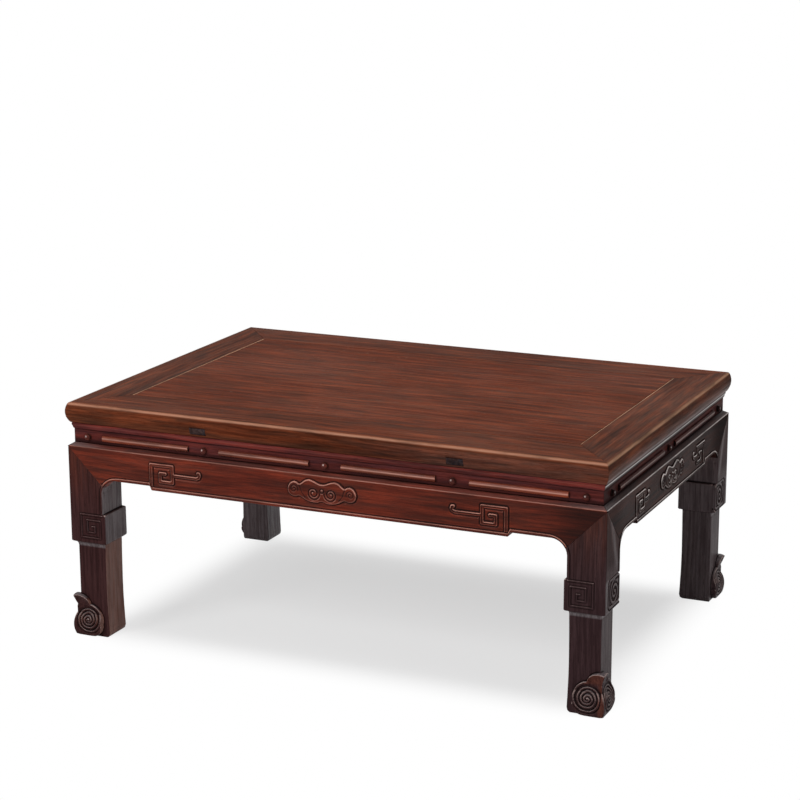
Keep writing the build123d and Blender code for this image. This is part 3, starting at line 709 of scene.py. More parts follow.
def fret_relief(a, b, tail):
    """Square key fret of one flat strap, with a tail that curls up at its end.

    a runs from the fret's outer edge towards the cloud.
    """
    strap = [
        (3.0, 250.0), (3.0, 287.6), (39.2, 287.6), (39.2, 262.8), (18.6, 262.8), (18.6, 275.3),
        (27.0, 275.3),
    ]
    end = 42.0 + tail
    curl = [
        (41.0, 274.3), (end - 5.0, 274.0), (end - 1.4, 275.6), (end + 0.2, 278.8),
        (end - 0.6, 281.6), (end - 2.8, 281.8),
    ]
    edge = np.minimum(line_distance(strap, a, b) - 2.6, line_distance(curl, a, b) - 2.5)
    sunk = 1.15 * (1.0 - step(0.3, 4.2, edge)) * step(-0.5, 0.5, edge)
    hollow = 0.35 * step(-0.9, -2.2, edge)
    return 0.85 * step(0.5, -0.5, edge) - hollow - sunk


def apron_relief(along, height, half, low_edge, frets):
    """Height of the carving above the apron's face. frets: (outer edge, tail) for each end."""
    u = half - np.abs(along)
    bend = np.hypot(u - CORNER_CENTRE[0], height - CORNER_CENTRE[1]) - CORNER_RADIUS
    in_corner = (u < CORNER_CENTRE[0]) & (height > CORNER_CENTRE[1])
    off = np.where(in_corner, np.abs(bend), height - low_edge)
    width = 3.9 + 1.5 * step(66.0, 92.0, u)
    bead = 0.9 * np.sqrt(np.clip(1.0 - ((off - width / 2) / (width / 2)) ** 2, 0.0, 1.0))
    groove = 0.55 * np.exp(-(((off - width - 0.5) / 0.75) ** 2))
    carved = np.where(off > width + 0.2, 0.0, bead) - groove
    ornament = cloud_relief(along - CLOUD_OFFSET, height)
    for side, (outer, tail) in zip((-1, 1), frets):
        ornament = ornament + fret_relief(outer - side * along, height, tail)
    return carved + ornament * step(width + 0.4, width + 1.4, off)


def low_edge_of(along, half, middle_inset):
    """Lower edge of the apron's face: the mitre, the round corner and the stepped middle."""
    u = half - np.abs(along)
    span = np.sqrt(np.clip(CORNER_RADIUS**2 - (CORNER_CENTRE[0] - u) ** 2, 0.0, None))
    edge = np.where(u < CORNER_CENTRE[0], CORNER_CENTRE[1] + span, APRON_BOTTOM)
    edge = np.where(u < MITRE_END, SHOULDER_TOP - u, edge)
    return edge - MIDDLE_DROP * step(middle_inset - 0.5, middle_inset + 3.5, u)


def columns_of(half, fine):
    """Places along the apron: close together in the fine ranges and at the round corners."""
    end = half - 0.4
    places = [-end]
    while places[-1] < end:
        here = places[-1]
        ornament = any(first - 1.0 < here < last for first, last in fine)
        corner = MITRE_END - 3.8 < half - abs(here) < CORNER_CENTRE[0] + 3.0
        places.append(here + (ORNAMENT_GAP if ornament or corner else PLAIN_GAP))
    places[-1] = end
    return np.array(places)


# Rows of the apron's mesh, as (depth, lift) under its lower edge, then up the bead in close
# steps, and (depth, height, wear and painted light) over the shoulder. FEELER is how far its
# carving is felt for.
FACE_EDGE = np.array([*np.arange(0.0, 8.0, 0.55), 8.0])
FACE_HEIGHT = 40.0
FEELER = 1.6
HIDDEN_FACE = 280.0
ARRIS = 0.9
LOWER_ROWS = [(APRON_THICKNESS, 0.8), (APRON_THICKNESS - 0.8, 0.0), (12.0, 0.0), (2.2, 0.0)]
# Painted highlight on the shoulder's edge, painted shade up the slope and under the waist
SHOULDER_ROWS = [
    (0.5, 301.5, 0.85), (1.2, 301.95, 0.2), (4.5, 303.9, -0.2), (WAIST_SETBACK - 0.4, 305.8, -0.3),
    (WAIST_SETBACK + 0.6, APRON_TOP, -0.6), (APRON_THICKNESS, APRON_TOP, 0.0),
]


def draw_apron(half, middle_inset, frets):
    """Mesh of an apron, with (along, inset, height) points, in rows from its lower inner edge."""
    fine = [(CLOUD_OFFSET - CLOUD_REACH, CLOUD_OFFSET + CLOUD_REACH)]
    for side, (outer, tail) in zip((-1, 1), frets):
        fine.append(sorted((side * (outer + FRET_MARGIN), side * (outer - FRET_REACH - tail))))
        fine.append((side * (half - middle_inset) - 5.0, side * (half - middle_inset) + 5.0))
    along = columns_of(half, fine)
    low = low_edge_of(along, half, middle_inset)
    rise = SHOULDER_TOP - low
    u = half - np.abs(along)
    mitred = u < MITRE_END
    flat = np.ones(len(along))

    def row_at(depth):
        """Places along the apron at a depth behind its face, drawn in by the mitred ends."""
        inner = np.where(mitred, depth + u * (MITRE_END - depth) / MITRE_END, u)
        return np.where(along < 0, -1.0, 1.0) * (half - inner)

    def carving_at(angle, height):
        """Height of the carving a little way off in the direction of the angle."""
        beside = along + FEELER * math.cos(angle)
        low_beside = low_edge_of(beside, half, middle_inset)
        return apron_relief(beside, height + FEELER * math.sin(angle), half, low_beside, frets)

    lower_wear = np.where(mitred, -0.4, 0.0)
    rows = []
    for depth, lift in LOWER_ROWS:
        places = row_at(depth)
        edge = low_edge_of(places, half, middle_inset)
        rows.append((places, depth * flat, edge + lift, lower_wear - 0.05))
    rows.append((row_at(ARRIS), ARRIS * flat, low + 0.15, lower_wear + 0.1))

    # The carved face: rows close together over the bead, then evenly up to the shoulder
    edge_height = FACE_EDGE[-1] * np.clip(rise / FACE_HEIGHT, 0.0, 1.0)
    offsets = [edge_height * share for share in FACE_EDGE / FACE_EDGE[-1]]
    field_shares = np.linspace(0.0, 1.0, int(39.0 / ORNAMENT_GAP))[1:]
    offsets += [edge_height + (rise - edge_height) * share for share in field_shares]
    for offset in offsets:
        height = low + offset
        under_shoulder = SHOULDER_TOP - height
        carved = apron_relief(along, height, half, low, frets)
        around = [carving_at(angle, height) for angle in np.arange(6) * math.pi / 3]
        rubbed_and_painted_light = (carved - np.mean(around, axis=0)) * 2.6
        below, above = around[4] + around[5], around[1] + around[2]
        # Painted highlight: raised carving is lighter where its edges face up
        lit = 0.2 + 0.7 * step(0.2, 1.4, below - above)
        rubbed_and_painted_light = np.clip(np.where(rubbed_and_painted_light > 0.0, rubbed_and_painted_light * lit, rubbed_and_painted_light), -1.0, 1.0)
        # Painted highlight in a band just under the shoulder's edge
        rubbed_and_painted_light = rubbed_and_painted_light + 0.35 * step(1.8, 0.0, under_shoulder)
        # Painted shade near both ends and over the half towards one end
        painted_shade = 0.36 * step(110.0, 30.0, u) + 0.36 * step(20.0, 180.0, along)
        rubbed_and_painted_light = rubbed_and_painted_light - painted_shade * (rubbed_and_painted_light < 0.3)
        rubbed_and_painted_light = np.minimum(rubbed_and_painted_light, 1.0 - 1.25 * step(1.2, 0.0, offset) * mitred)
        fade = step(0.0, 1.6, under_shoulder) * np.where(mitred, step(0.0, 1.5, offset), 1.0)
        rows.append((along, -carved * fade, height, rubbed_and_painted_light))
    for depth, height, rubbed_and_painted_light in SHOULDER_ROWS:
        rows.append((row_at(depth), depth * flat, height * flat, rubbed_and_painted_light * flat))
    places = row_at(APRON_THICKNESS)
    level = np.maximum(HIDDEN_FACE, low_edge_of(places, half, middle_inset) + 3.0)
    rows.append((places, APRON_THICKNESS * flat, np.minimum(level, 300.0), 0.0 * flat))

    painted_sheen_and_brown = np.zeros((len(along), len(rows)))
    # Painted grey sheen on the shoulder's slope, stronger near the ends
    painted_sheen_and_brown[:, -6:-3] = 0.05 + 0.15 * step(85.0, 5.0, u)[:, None]
    points = np.stack([np.stack(row[:3], axis=1) for row in rows], axis=1)
    wear_and_painted_light = np.stack([row[3] for row in rows], axis=1)
    quads, first_end, last_end = tube_faces(*wear_and_painted_light.shape)
    faces = [quads[:, [0, 3, 2, 1]], first_end[:, ::-1], last_end[:, ::-1]]
    return points.reshape(-1, 3), faces, wear_and_painted_light.ravel(), painted_sheen_and_brown.ravel()


apron_wood = rosewood(
    "rosewood apron long", "X", (0.092, 0.0165, 0.0090, 1), (0.175, 0.0300, 0.0150, 1),
    (0.44, 0.21, 0.16, 1), 61.3,
)
# A shaded copy for the end sides: darker wood, pale worn colour for the painted highlights
shaded_apron_end_wood = rosewood(
    "rosewood apron end shaded", "Y", (0.023, 0.0105, 0.0095, 1), (0.048, 0.0185, 0.0155, 1),
    (0.75, 0.67, 0.64, 1), 66.8, gloss=0.012,
)
long_apron = draw_apron(LEG_X, 141.0, ((287.4, 43.0), (284.4, 43.0)))
short_apron = draw_apron(LEG_Y, 127.0, ((170.5, 17.0), (161.5, 17.0)))
for quarter, side, ((points, faces, wear_and_painted_light, painted_sheen_and_brown), distance, wood) in sides_of(
    (long_apron, LEG_Y, apron_wood), (short_apron, LEG_X, shaded_apron_end_wood)
):
    along, inset, height = points.T
    placed = on_side(along, inset - distance, height, quarter)
    piece = make_piece(
        f"apron.{side}", placed, faces, wear_and_painted_light, wood, f"apron_{side}", painted_sheen_and_brown
    )
    even_normals(piece)

# Legs -----------------------------------------------------------------------------------
# Each leg is one rosewood timber: mitred shoulder, a square block with carved spirals on
# its outer faces, a set-back shin and a toe carved as a scroll with a volute on both faces.


def arc(first, middle, last, steps=12):
    """Points of the circular arc through three points, without its last point."""
    (ax, ay), (bx, by), (cx, cy) = first, middle, last
    scale = 2 * (ax * (by - cy) + bx * (cy - ay) + cx * (ay - by))
    a2, b2, c2 = ax * ax + ay * ay, bx * bx + by * by, cx * cx + cy * cy
    ox = (a2 * (by - cy) + b2 * (cy - ay) + c2 * (ay - by)) / scale
    oy = (a2 * (cx - bx) + b2 * (ax - cx) + c2 * (bx - ax)) / scale
    start, mid, end = (math.atan2(y - oy, x - ox) for x, y in (first, middle, last))
    mid, end = (mid - start) % math.tau, (end - start) % math.tau
    sweep = end if mid < end else end - math.tau
    radius = math.hypot(ax - ox, ay - oy)
    angles = start + sweep * np.linspace(0.0, 1.0, steps, endpoint=False)
    return [(ox + radius * math.cos(a), oy + radius * math.sin(a)) for a in angles]


BLOCK_BOTTOM, BLOCK_TOP = 150.5, 197.9
LEG_WIDTH, BLOCK_WIDTH = 57.0, 61.3
SHIN = 7.6
BLOCK_ROUND = 3.0
COVE_BOTTOM, COVE_HEIGHT, COVE_WIDTH = 142.5, 8.0, 4.6
BELOW_FLOOR = -3.0

# Outlines as (inset, height), up the outer face and down the inner one
ROUND_START = BLOCK_BOTTOM + BLOCK_ROUND
ROUND_TOP = BLOCK_WIDTH - BLOCK_ROUND
OUTER_FACE = [
    (SHIN, BELOW_FLOOR), (SHIN, COVE_BOTTOM),
    *(
        (BLOCK_ROUND + COVE_WIDTH * math.cos(a), COVE_BOTTOM + COVE_HEIGHT * math.sin(a))
        for a in np.linspace(0.1, math.pi / 2, 9)
    ),
    *arc((BLOCK_ROUND, BLOCK_BOTTOM), (0.88, 151.38), (0.0, ROUND_START), 6),
    (0.0, ROUND_START), (0.0, FRAME_BOTTOM), (LEG_WIDTH, FRAME_BOTTOM), (LEG_WIDTH, BLOCK_TOP),
    *arc((ROUND_TOP, BLOCK_TOP), (60.42, 197.02), (BLOCK_WIDTH, BLOCK_TOP - BLOCK_ROUND), 6),
    *arc((BLOCK_WIDTH, ROUND_START), (60.42, 151.38), (ROUND_TOP, BLOCK_BOTTOM), 6),
]
LEG_END = [
    *OUTER_FACE, (55.6, BLOCK_BOTTOM), (55.4, 60.0), (55.8, 7.0), (54.8, 2.2), (52.6, 0.0),
    (52.4, BELOW_FLOOR),
]
LEG_SIDE = [
    *OUTER_FACE, (55.6, BLOCK_BOTTOM), (55.2, 120.0), (54.9, 80.0), (55.4, 50.0), (56.6, 20.0),
    (57.3, 7.0), (56.0, 2.2), (53.2, 0.0), (53.0, BELOW_FLOOR),
]

TOE_SIDE = [
    (4.6, BELOW_FLOOR), (4.6, 0.0), (2.2, 0.6), (0.8, 2.0),
    *arc((0.2, 4.0), (-1.75, 17.0), (3.0, 37.0)), *arc((3.0, 37.0), (1.9, 52.0), (-1.6, 63.5)),
    (-1.6, 63.5), (-1.7, 90.0), (90.0, 90.0), (90.0, BELOW_FLOOR),
]
CREST = [
    *arc((-1.7, 62.9), (12.8, 64.8), (26.4, 51.2), 14),
    *arc((26.4, 51.2), (41.4, 42.6), (46.6, 20.0), 14),
    *arc((46.6, 20.0), (43.0, 6.8), (30.0, 0.0), 10),
    (30.0, 0.0), (30.0, BELOW_FLOOR), (-10.0, BELOW_FLOOR), (-10.0, 62.9),
]

# The volute's radius at every quarter turn from its eye outwards
VOLUTE_CENTRE = (24.5, 26.0)
VOLUTE_RADII = [
    1.2, 2.6, 2.8, 4.2, 5.6, 7.6, 6.6, 9.0, 11.2, 12.4, 11.8, 14.2, 16.2, 17.6, 18.0, 20.6, 23.0,
]


def volute_point(quarters):
    """Point of the volute's ridge so many quarter turns from its eye."""
    radius = np.interp(quarters, range(len(VOLUTE_RADII)), VOLUTE_RADII)
    angle = (quarters + 1) * math.pi / 2
    return (
        VOLUTE_CENTRE[0] + radius * math.cos(angle), VOLUTE_CENTRE[1] + radius * math.sin(angle)
    )


VOLUTE = [volute_point(quarters) for quarters in np.linspace(0.0, 16.0, 112)]
BLOCK_KEY = [
    (55.0, 195.9), (18.5, 195.9), (18.5, 160.0), (51.5, 160.0), (51.5, 187.6), (29.2, 187.6),
    (29.2, 168.3), (42.0, 168.3), (42.0, 177.6), (37.6, 177.6),
]
BLOCK_RING = [
    (20.0, 196.0), (56.0, 196.0), (59.0, 193.0), (59.0, 160.5), (54.5, 157.0), (19.0, 157.0),
    (15.0, 160.5), (15.0, 192.0), (20.0, 196.0),
]
BLOCK_CURL = spiral((38.5, 174.9), 1.5, 8.6, 0.0, 2.0, -1.0)


def foot_depth(a, b):
    """How deep the scroll's face is cut: coves between the rim and the volute's ridge."""
    volute = line_distance(VOLUTE, a, b)
    edge = -shape_distance(CREST, a, b)
    around = np.hypot(a - VOLUTE_CENTRE[0], b - VOLUTE_CENTRE[1])
    coves = (1.5 + 0.5 * step(12.0, 17.0, around)) * step(0.8, 2.1, volute)
    coves = coves * step(24.0, 20.0, around)
    crown = 1.1 * step(1.5, 6.0, np.minimum(edge, volute)) * step(17.0, 22.0, around)
    outer = step(1.0, 7.0, a) * step(1.0, 6.0, b)
    depth = (coves + crown * step(44.0, 50.0, b)) * outer
    return depth * step(-1.0, 1.0, edge)


def block_depth(a, b, round_spiral):
    """How deep the block's face is cut: sunk ground round one raised line."""
    if round_spiral:
        line = np.minimum(line_distance(BLOCK_RING, a, b), line_distance(BLOCK_CURL, a, b)) - 0.8
    else:
        line = line_distance(BLOCK_KEY, a, b)
    thread = 1.15 * np.sqrt(np.clip(1.0 - (np.clip(line, 0.0, None) / 1.35) ** 2, 0.0, 1.0))
    ground = (1.3 if round_spiral else 0.35) * step(5.5, 2.2, line)
    inside = step(148.0, 152.0, b) * step(200.5, 198.0, b)
    return (ground - thread) * inside


BEAD_RADIUS = 1.95


def edge_depth(a, b):
    """The bead along the inner edge of the upper leg, in line with the apron's bead."""
    straight = a - LEG_WIDTH
    bent = np.hypot(a - CORNER_CENTRE[0], b - CORNER_CENTRE[1]) - CORNER_RADIUS
    in_corner = b > CORNER_CENTRE[1]
    off = np.where(in_corner, np.abs(bent - BEAD_RADIUS), np.abs(straight + BEAD_RADIUS))
    bead = 0.9 * np.sqrt(np.clip(1.0 - (off / BEAD_RADIUS) ** 2, 0.0, 1.0))
    beyond = np.where(in_corner, 0.0, straight + 2 * BEAD_RADIUS)
    groove = 0.5 * np.exp(-(((off - 2.5) / 0.75) ** 2)) * (beyond < 0.5)
    return (groove - bead) * step(198.2, 199.6, b)


def face_depth(a, b, round_spiral):
    """The whole carving of one outer face of a leg, in depth below the plain face."""
    return edge_depth(a, b) + block_depth(a, b, round_spiral) + foot_depth(a, b)


def soft_max(a, b, radius):
    """Greater of two fields, rounded where they meet."""
    near = np.clip(radius - np.abs(a - b), 0.0, None) / radius
    return np.maximum(a, b) + near * near * radius / 4.0


def soft_min(a, b, radius):
    """Lesser of two fields, rounded where they meet."""
    return -soft_max(-a, -b, radius)


def skin(field, axes):
    """Mesh of the surface where the field changes sign: one point for each cell it crosses."""
    shape = np.array(field.shape) - 1
    total = np.zeros((4, shape.prod()))
    quads = []
    for axis in range(3):
        low = [slice(None)] * 3
        high = [slice(None)] * 3
        low[axis], high[axis] = slice(None, -1), slice(1, None)
        before, after = field[tuple(low)], field[tuple(high)]
        cell = np.argwhere((before < 0) != (after < 0))
        where = tuple(cell.T)
        share = before[where] / (before[where] - after[where])
        point = np.stack([axes[i][cell[:, i]] for i in range(3)], axis=1)
        point[:, axis] += share * np.diff(axes[axis])[cell[:, axis]]
        first, second = [other for other in range(3) if other != axis]
        corners = []
        for back_first, back_second in ((0, 0), (1, 0), (1, 1), (0, 1)):
            near = cell.copy()
            near[:, first] -= back_first
            near[:, second] -= back_second
            index = np.ravel_multi_index(tuple(near.T), tuple(shape))
            corners.append(index)
            for row in range(3):
                total[row] += np.bincount(index, point[:, row], shape.prod())
            total[3] += np.bincount(index, minlength=shape.prod())
        quad = np.stack(corners, axis=1)
        turned = (before[where] < 0) == (axis == 1)
        quad[turned] = quad[turned][:, ::-1]
        quads.append(quad)
    used = np.flatnonzero(total[3])
    number = np.full(shape.prod(), -1)
    number[used] = np.arange(len(used))
    return (total[:3, used] / total[3, used]).T, number[np.concatenate(quads)]


def leg_field(across, levels):
    """Signed field of the front left leg on a grid: u and v from its outer corner, and z."""
    a, b = np.meshgrid(across, levels, indexing="ij")
    u, v = across[:, None, None], across[None, :, None]
    z = levels[None, None, :]

    def on_faces(values):
        """Values of one face's plane (inset, height), for the front face and for the end face."""
        return values[:, None, :], values[None, :, :]

    body = soft_max(
        on_faces(shape_distance(LEG_SIDE, a, b))[0], on_faces(shape_distance(LEG_END, a, b))[1], 1.6
    )
    front_crest, end_crest = on_faces(shape_distance(CREST, a, b))
    scroll = np.minimum(
        soft_max(front_crest, v - SHIN - 2.0, 1.5), soft_max(end_crest, u - SHIN - 2.0, 1.5)
    )
    scroll = soft_max(scroll, soft_max(*on_faces(shape_distance(TOE_SIDE, a, b)), 2.2), 1.5)
    field = soft_min(body, scroll, 1.2)

    # The two ears that carry the aprons' round corners down into the leg
    ear = CORNER_RADIUS - np.hypot(a - CORNER_CENTRE[0], b - CORNER_CENTRE[1])
    ear = np.maximum(np.maximum(ear, CORNER_CENTRE[1] - b), np.abs(a - 50.0) - 12.0)
    front_ear, end_ear = on_faces(ear)
    field = np.minimum(field, np.maximum(front_ear, np.maximum(v - APRON_THICKNESS, -v)))
    field = np.minimum(field, np.maximum(end_ear, np.maximum(u - APRON_THICKNESS, -u)))

    # Carving, with a key fret on the front face and a round curl on the end face
    front_cut = on_faces(face_depth(a, b, False))[0] * step(7.0, 4.5, v)
    end_cut = on_faces(face_depth(a, b, True))[1] * step(7.0, 4.5, u)
    field = field + front_cut + end_cut

    # Wood cut away above the mitres, where the aprons' shoulders lie
    slope = 0.7071
    front_waste = np.maximum(v - APRON_THICKNESS, (SHOULDER_TOP - u - z) * slope)
    end_waste = np.maximum(u - APRON_THICKNESS, (SHOULDER_TOP - v - z) * slope)
    field = np.maximum(field, np.maximum(-front_waste, -end_waste))
    return np.maximum(field, np.maximum(-z, z - FRAME_BOTTOM) + 0 * u)


def convexity(points, quads):
    """How much each point stands out of its neighbours, smoothed a little, and its normal."""
    edges = np.concatenate([quads[:, [i, (i + 1) % 4]] for i in range(4)])
    edges = np.concatenate([edges, edges[:, ::-1]])
    count = np.bincount(edges[:, 0], minlength=len(points))

    def mean_around(values):
        return np.bincount(edges[:, 0], values[edges[:, 1]], len(points)) / count

    across = points[quads[:, 2]] - points[quads[:, 0]]
    along = points[quads[:, 3]] - points[quads[:, 1]]
    facing = np.cross(across, along)
    normal = np.zeros_like(points)
    for corner in range(4):
        for row in range(3):
            normal[:, row] += np.bincount(quads[:, corner], facing[:, row], len(points))
    normal /= np.maximum(np.linalg.norm(normal, axis=1), 1e-9)[:, None]
    smooth = points.copy()
    for _ in range(3):
        smooth = np.stack([mean_around(smooth[:, row]) for row in range(3)], axis=1)
    out = ((points - smooth) * normal).sum(axis=1)
    for _ in range(2):
        out = 0.5 * out + 0.5 * mean_around(out)
    return out, normal


# Grid of the leg: fine over the toe and the block, wider over the plain parts
FINE = 0.65
across = np.arange(-3.2, 63.5, FINE)
levels = np.concatenate(
    [
        np.arange(-1.3, 71.0, FINE), np.arange(71.0, 140.0, 2.4), np.arange(140.0, 200.0, FINE),
        np.arange(200.0, 228.0, 2.0), np.arange(228.0, 246.0, 1.0), np.arange(246.0, 303.0, 1.6),
        np.arange(303.0, 342.0, 3.0),
    ]
)
leg_points, leg_quads = skin(leg_field(across, levels), (across, across, levels))
standing_out, leg_normal = convexity(leg_points, leg_quads)
u, v, z = leg_points.T
facing_right, facing_back, facing_up = leg_normal.T
inset = np.minimum(u, v)

# All of this is for the front left leg: the others are its mirror images.
# Wear: arrises rubbed light, painted highlights most on top, dirt and painted shade in the hollows,
# dirt in the mitre joints
lit = 4.0 * (0.2 + 0.8 * step(0.05, 0.4, facing_up))
leg_wear_and_painted_light = np.clip(standing_out * np.where(standing_out > 0.0, lit, 7.0), -1.0, 1.0)
leg_wear_and_painted_light = np.where(z > SHOULDER_TOP + 2.0, 0.0, leg_wear_and_painted_light)
mitre_off = SHOULDER_TOP - z - np.where(v < APRON_THICKNESS, u, v)
leg_wear_and_painted_light = np.where((z > 238.0) & (mitre_off < 1.5), -0.25, leg_wear_and_painted_light)

# Painted sheen, a painted reflection, in the cove under the block and on the scroll's crown
end_face = step(0.5, 0.8, -facing_right)
turned_left = step(0.6, 0.9, -facing_right)
cove_share = np.clip((z - COVE_BOTTOM) / COVE_HEIGHT, 0.0, 1.0)
leg_painted_sheen = 0.36 * np.sin(math.pi * cove_share) ** 0.9 * step(9.5, 8.0, inset)
on_scroll = step(SHIN - 0.6, SHIN - 2.4, inset) * step(72.0, 67.0, z)
leg_painted_sheen += 0.25 * on_scroll * step(0.5, 0.85, facing_up) + 0.1 * on_scroll * end_face

# Painted sheen on the end face: on the shin, on the block's raised ring, and a slanting streak
# above
on_shin = step(SHIN - 1.0, SHIN - 0.5, inset) * step(BLOCK_BOTTOM - 4.5, BLOCK_BOTTOM - 12.5, z)
leg_painted_sheen += 0.13 * on_shin * turned_left
on_block = step(BLOCK_BOTTOM - 0.5, BLOCK_BOTTOM + 1.5, z) * turned_left
on_block = on_block * step(BLOCK_TOP + 2.1, BLOCK_TOP + 0.1, z)
leg_painted_sheen += 0.3 * on_block * step(0.7, -0.2, u)
# Painted shade over the block's end face away from its corner
leg_wear_and_painted_light -= 0.6 * on_block * step(0.5, 1.2, u)
streak = np.exp(-(((v - 36.0 + 0.35 * (z - 240.0)) / 6.0) ** 2)) * step(200.0, 215.0, z)
leg_painted_sheen += 0.16 * streak * end_face * step(300.0, 270.0, z)
# Painted shade high on the end face, outside the streak
leg_wear_and_painted_light -= 0.4 * end_face * step(200.0, 225.0, z) * (1.0 - streak)

# Parts that the four legs show in different strengths: painted sheen, painted light, a browner
# scroll
back_in = step(0.6, 0.9, facing_back)
right_in = step(0.6, 0.9, facing_right)
shin_in = right_in * step(BLOCK_BOTTOM + 1.5, BLOCK_BOTTOM - 2.5, z)
# Browner on the scroll's faces that do not face up, most near its corner and high up
brown = on_scroll * step(0.7, 0.4, facing_up) * (1.0 - 0.8 * end_face)
brown_corner = np.maximum(step(12.0, 6.0, np.maximum(u, v)), step(44.0, 52.0, z))

leg_wood = rosewood(
    "rosewood leg", "Z", (0.052, 0.021, 0.017, 1), (0.094, 0.036, 0.028, 1),
    (0.46, 0.34, 0.31, 1), 77.7, rough=0.33, gloss=0.02, foot=(0.053, 0.029, 0.031, 1),
)
red_leg_wood = rosewood(
    "rosewood leg red", "Z", (0.066, 0.021, 0.016, 1), (0.124, 0.038, 0.027, 1),
    (0.46, 0.34, 0.31, 1), 81.2, rough=0.33, gloss=0.02, foot=(0.056, 0.0235, 0.0235, 1),
)
LEG_KINDS = {
    # The front left leg's inner shin gets painted light: a light worn colour and the warm brown
    "front_left": (
        red_leg_wood, leg_wear_and_painted_light * (1.0 - shin_in) + 0.4 * shin_in,
        leg_painted_sheen - 0.1 * brown + 0.08 * back_in + 0.43 * (right_in - shin_in) - shin_in,
    ),
    "front_right": (
        leg_wood, leg_wear_and_painted_light, leg_painted_sheen - brown * (0.15 + 0.35 * brown_corner) + 0.05 * back_in,
    ),
    "back_left": (leg_wood, leg_wear_and_painted_light, leg_painted_sheen - 0.1 * brown + 0.15 * back_in + 0.47 * right_in),
    "back_right": (leg_wood, leg_wear_and_painted_light, leg_painted_sheen - 0.1 * brown + 0.12 * back_in + 0.1 * right_in),
}
for place, (wood, wear_and_painted_light, painted_sheen_and_brown) in LEG_KINDS.items():
    flip_x = 1 if place.endswith("left") else -1
    flip_y = 1 if place.startswith("front") else -1
    placed = (leg_points - (LEG_X, LEG_Y, 0.0)) * (flip_x, flip_y, 1)
    quads = leg_quads if flip_x == flip_y else leg_quads[:, ::-1]
    piece = make_piece(
        f"leg.{place}", placed, [quads], wear_and_painted_light, wood, f"leg_{place}", painted_sheen_and_brown
    )
    thin_out = piece.modifiers.new("thin out", "DECIMATE")
    thin_out.ratio = 0.4
    even_normals(piece)

# Studio ---------------------------------------------------------------------------------
# A plain pale floor under a wide lamp overhead, a large soft one in front and a small weak
# one at the right. The right-hand side gets little light.


def light(name, place, target, size, power):
    """Rectangular soft lamp aimed at a point."""
    data = bpy.data.lights.new(name, "AREA")
    data.shape = "RECTANGLE"
    data.size, data.size_y = size
    data.energy = power
    lamp = bpy.data.objects.new(name, data)
    bpy.context.scene.collection.objects.link(lamp)
    lamp.location = place
    aim = Vector(target) - Vector(place)
    lamp.rotation_euler = aim.to_track_quat("-Z", "Y").to_euler()


light("lamp.front", (-0.9, -3.0, 2.4), (0.0, 0.0, 0.2), (2.2, 1.4), 80.0)
light("lamp.over", (0.1, 0.2, 3.2), (0.0, 0.0, 0.0), (3.0, 3.0), 100.0)
light("lamp.right", (2.8, -0.9, 0.45), (0.0, 0.0, 0.12), (0.8, 0.8), 9.0)


def background_rays(tree):
    """1 for the rays that show the background: those of the camera, mirrors and glass."""
    path = add_node(tree, "ShaderNodeLightPath").outputs
    mirrored = combine(tree, "MAXIMUM", path["Is Glossy Ray"], path["Is Transmission Ray"])
    return combine(tree, "MAXIMUM", path["Is Camera Ray"], mirrored)


world = bpy.data.worlds.new("studio")
world.use_nodes = True
bpy.context.scene.world = world
sky = world.node_tree
seen = background_rays(sky)
dim = add_node(sky, "ShaderNodeBackground", {"Color": (0.9, 0.95, 1.0, 1.0), "Strength": 0.12})
white = add_node(sky, "ShaderNodeBackground", {"Color": (1.0, 1.0, 1.0, 1.0), "Strength": 1.0})
both = add_node(sky, "ShaderNodeMixShader", {0: seen, 1: dim.outputs[0], 2: white.outputs[0]})
sky.links.new(both.outputs[0], sky.nodes["World Output"].inputs["Surface"])

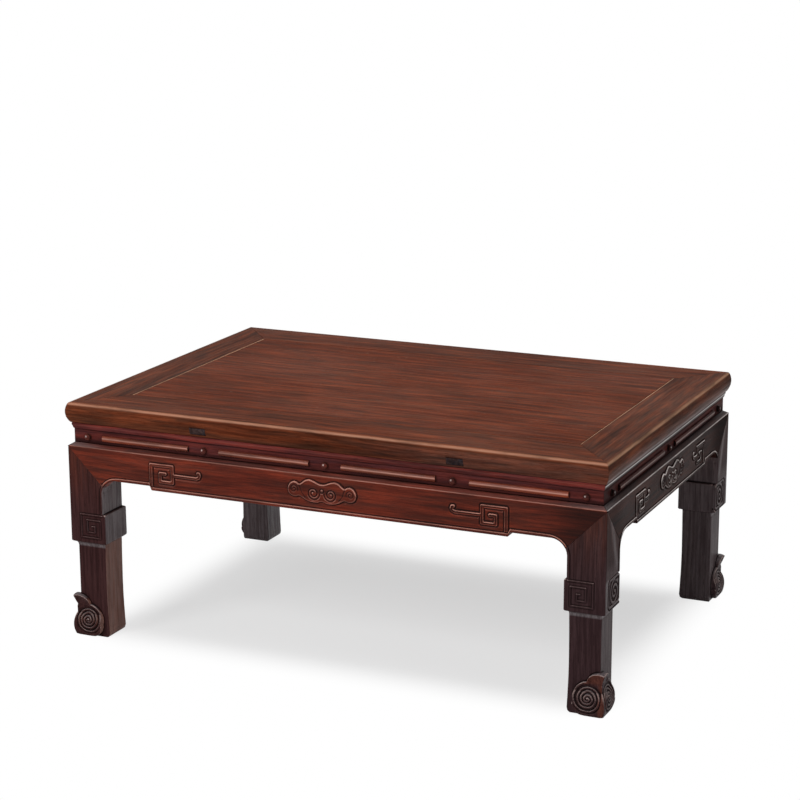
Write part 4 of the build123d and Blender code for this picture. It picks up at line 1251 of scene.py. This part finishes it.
SHADOW_REACH = (0.34, 0.22, 0.0)
SHADOW_FADE = 0.11
FLOOR_REACH = 5.0
floor_paint = bpy.data.materials.new("studio floor")
floor_paint.use_nodes = True
tree = floor_paint.node_tree
tree.nodes.clear()
place = add_node(tree, "ShaderNodeTexCoord").outputs["Object"]
away = add_node(tree, "ShaderNodeVectorMath", {0: place}, operation="ABSOLUTE").outputs[0]
for limit, operation in ((SHADOW_REACH, "SUBTRACT"), ((0.0, 0.0, 0.0), "MAXIMUM")):
    away = add_node(
        tree, "ShaderNodeVectorMath", {0: away, 1: limit}, operation=operation
    ).outputs[0]
far = add_node(tree, "ShaderNodeVectorMath", {0: away}, operation="LENGTH").outputs["Value"]
whiteness = ramp(tree, far, 0.0, SHADOW_FADE, 0.6, 1.0)
fade = combine(tree, "MULTIPLY", whiteness, background_rays(tree))
matt = add_node(tree, "ShaderNodeBsdfDiffuse", {"Color": (0.86, 0.86, 0.86, 1.0)})
glow = add_node(tree, "ShaderNodeEmission", {"Color": (1.0, 1.0, 1.0, 1.0), "Strength": 1.0})
paint = add_node(tree, "ShaderNodeMixShader", {0: fade, 1: matt.outputs[0], 2: glow.outputs[0]})
add_node(tree, "ShaderNodeOutputMaterial", {"Surface": paint.outputs[0]})
corners = [(x * FLOOR_REACH, y * FLOOR_REACH, 0.0) for x, y in ((-1, -1), (1, -1), (1, 1), (-1, 1))]
floor_mesh = bpy.data.meshes.new("studio.floor")
floor_mesh.from_pydata(corners, [], [(0, 1, 2, 3)])
floor_mesh.materials.append(floor_paint)
floor = bpy.data.objects.new("studio.floor", floor_mesh)
bpy.context.scene.collection.objects.link(floor)

# Camera ---------------------------------------------------------------------------------
# A long lens in front of the near right corner, tilted a little down towards the table.

CAMERA_PLACE = (1.35587, -3.03018, 1.17785)
YAW, PITCH, ROLL = 0.42392, -0.24531, -0.0036
LENS = 99.9
view = bpy.data.cameras.new("camera")
view.lens = LENS
view.sensor_width = 36.0
view.clip_end = 50.0
camera = bpy.data.objects.new("camera", view)
bpy.context.scene.collection.objects.link(camera)
camera.matrix_world = (
    Matrix.Translation(CAMERA_PLACE)
    @ Matrix.Rotation(YAW, 4, "Z")
    @ Matrix.Rotation(math.pi / 2 + PITCH, 4, "X")
    @ Matrix.Rotation(ROLL, 4, "Z")
)
bpy.context.scene.camera = camera
bpy.context.scene.view_settings.view_transform = "Standard"
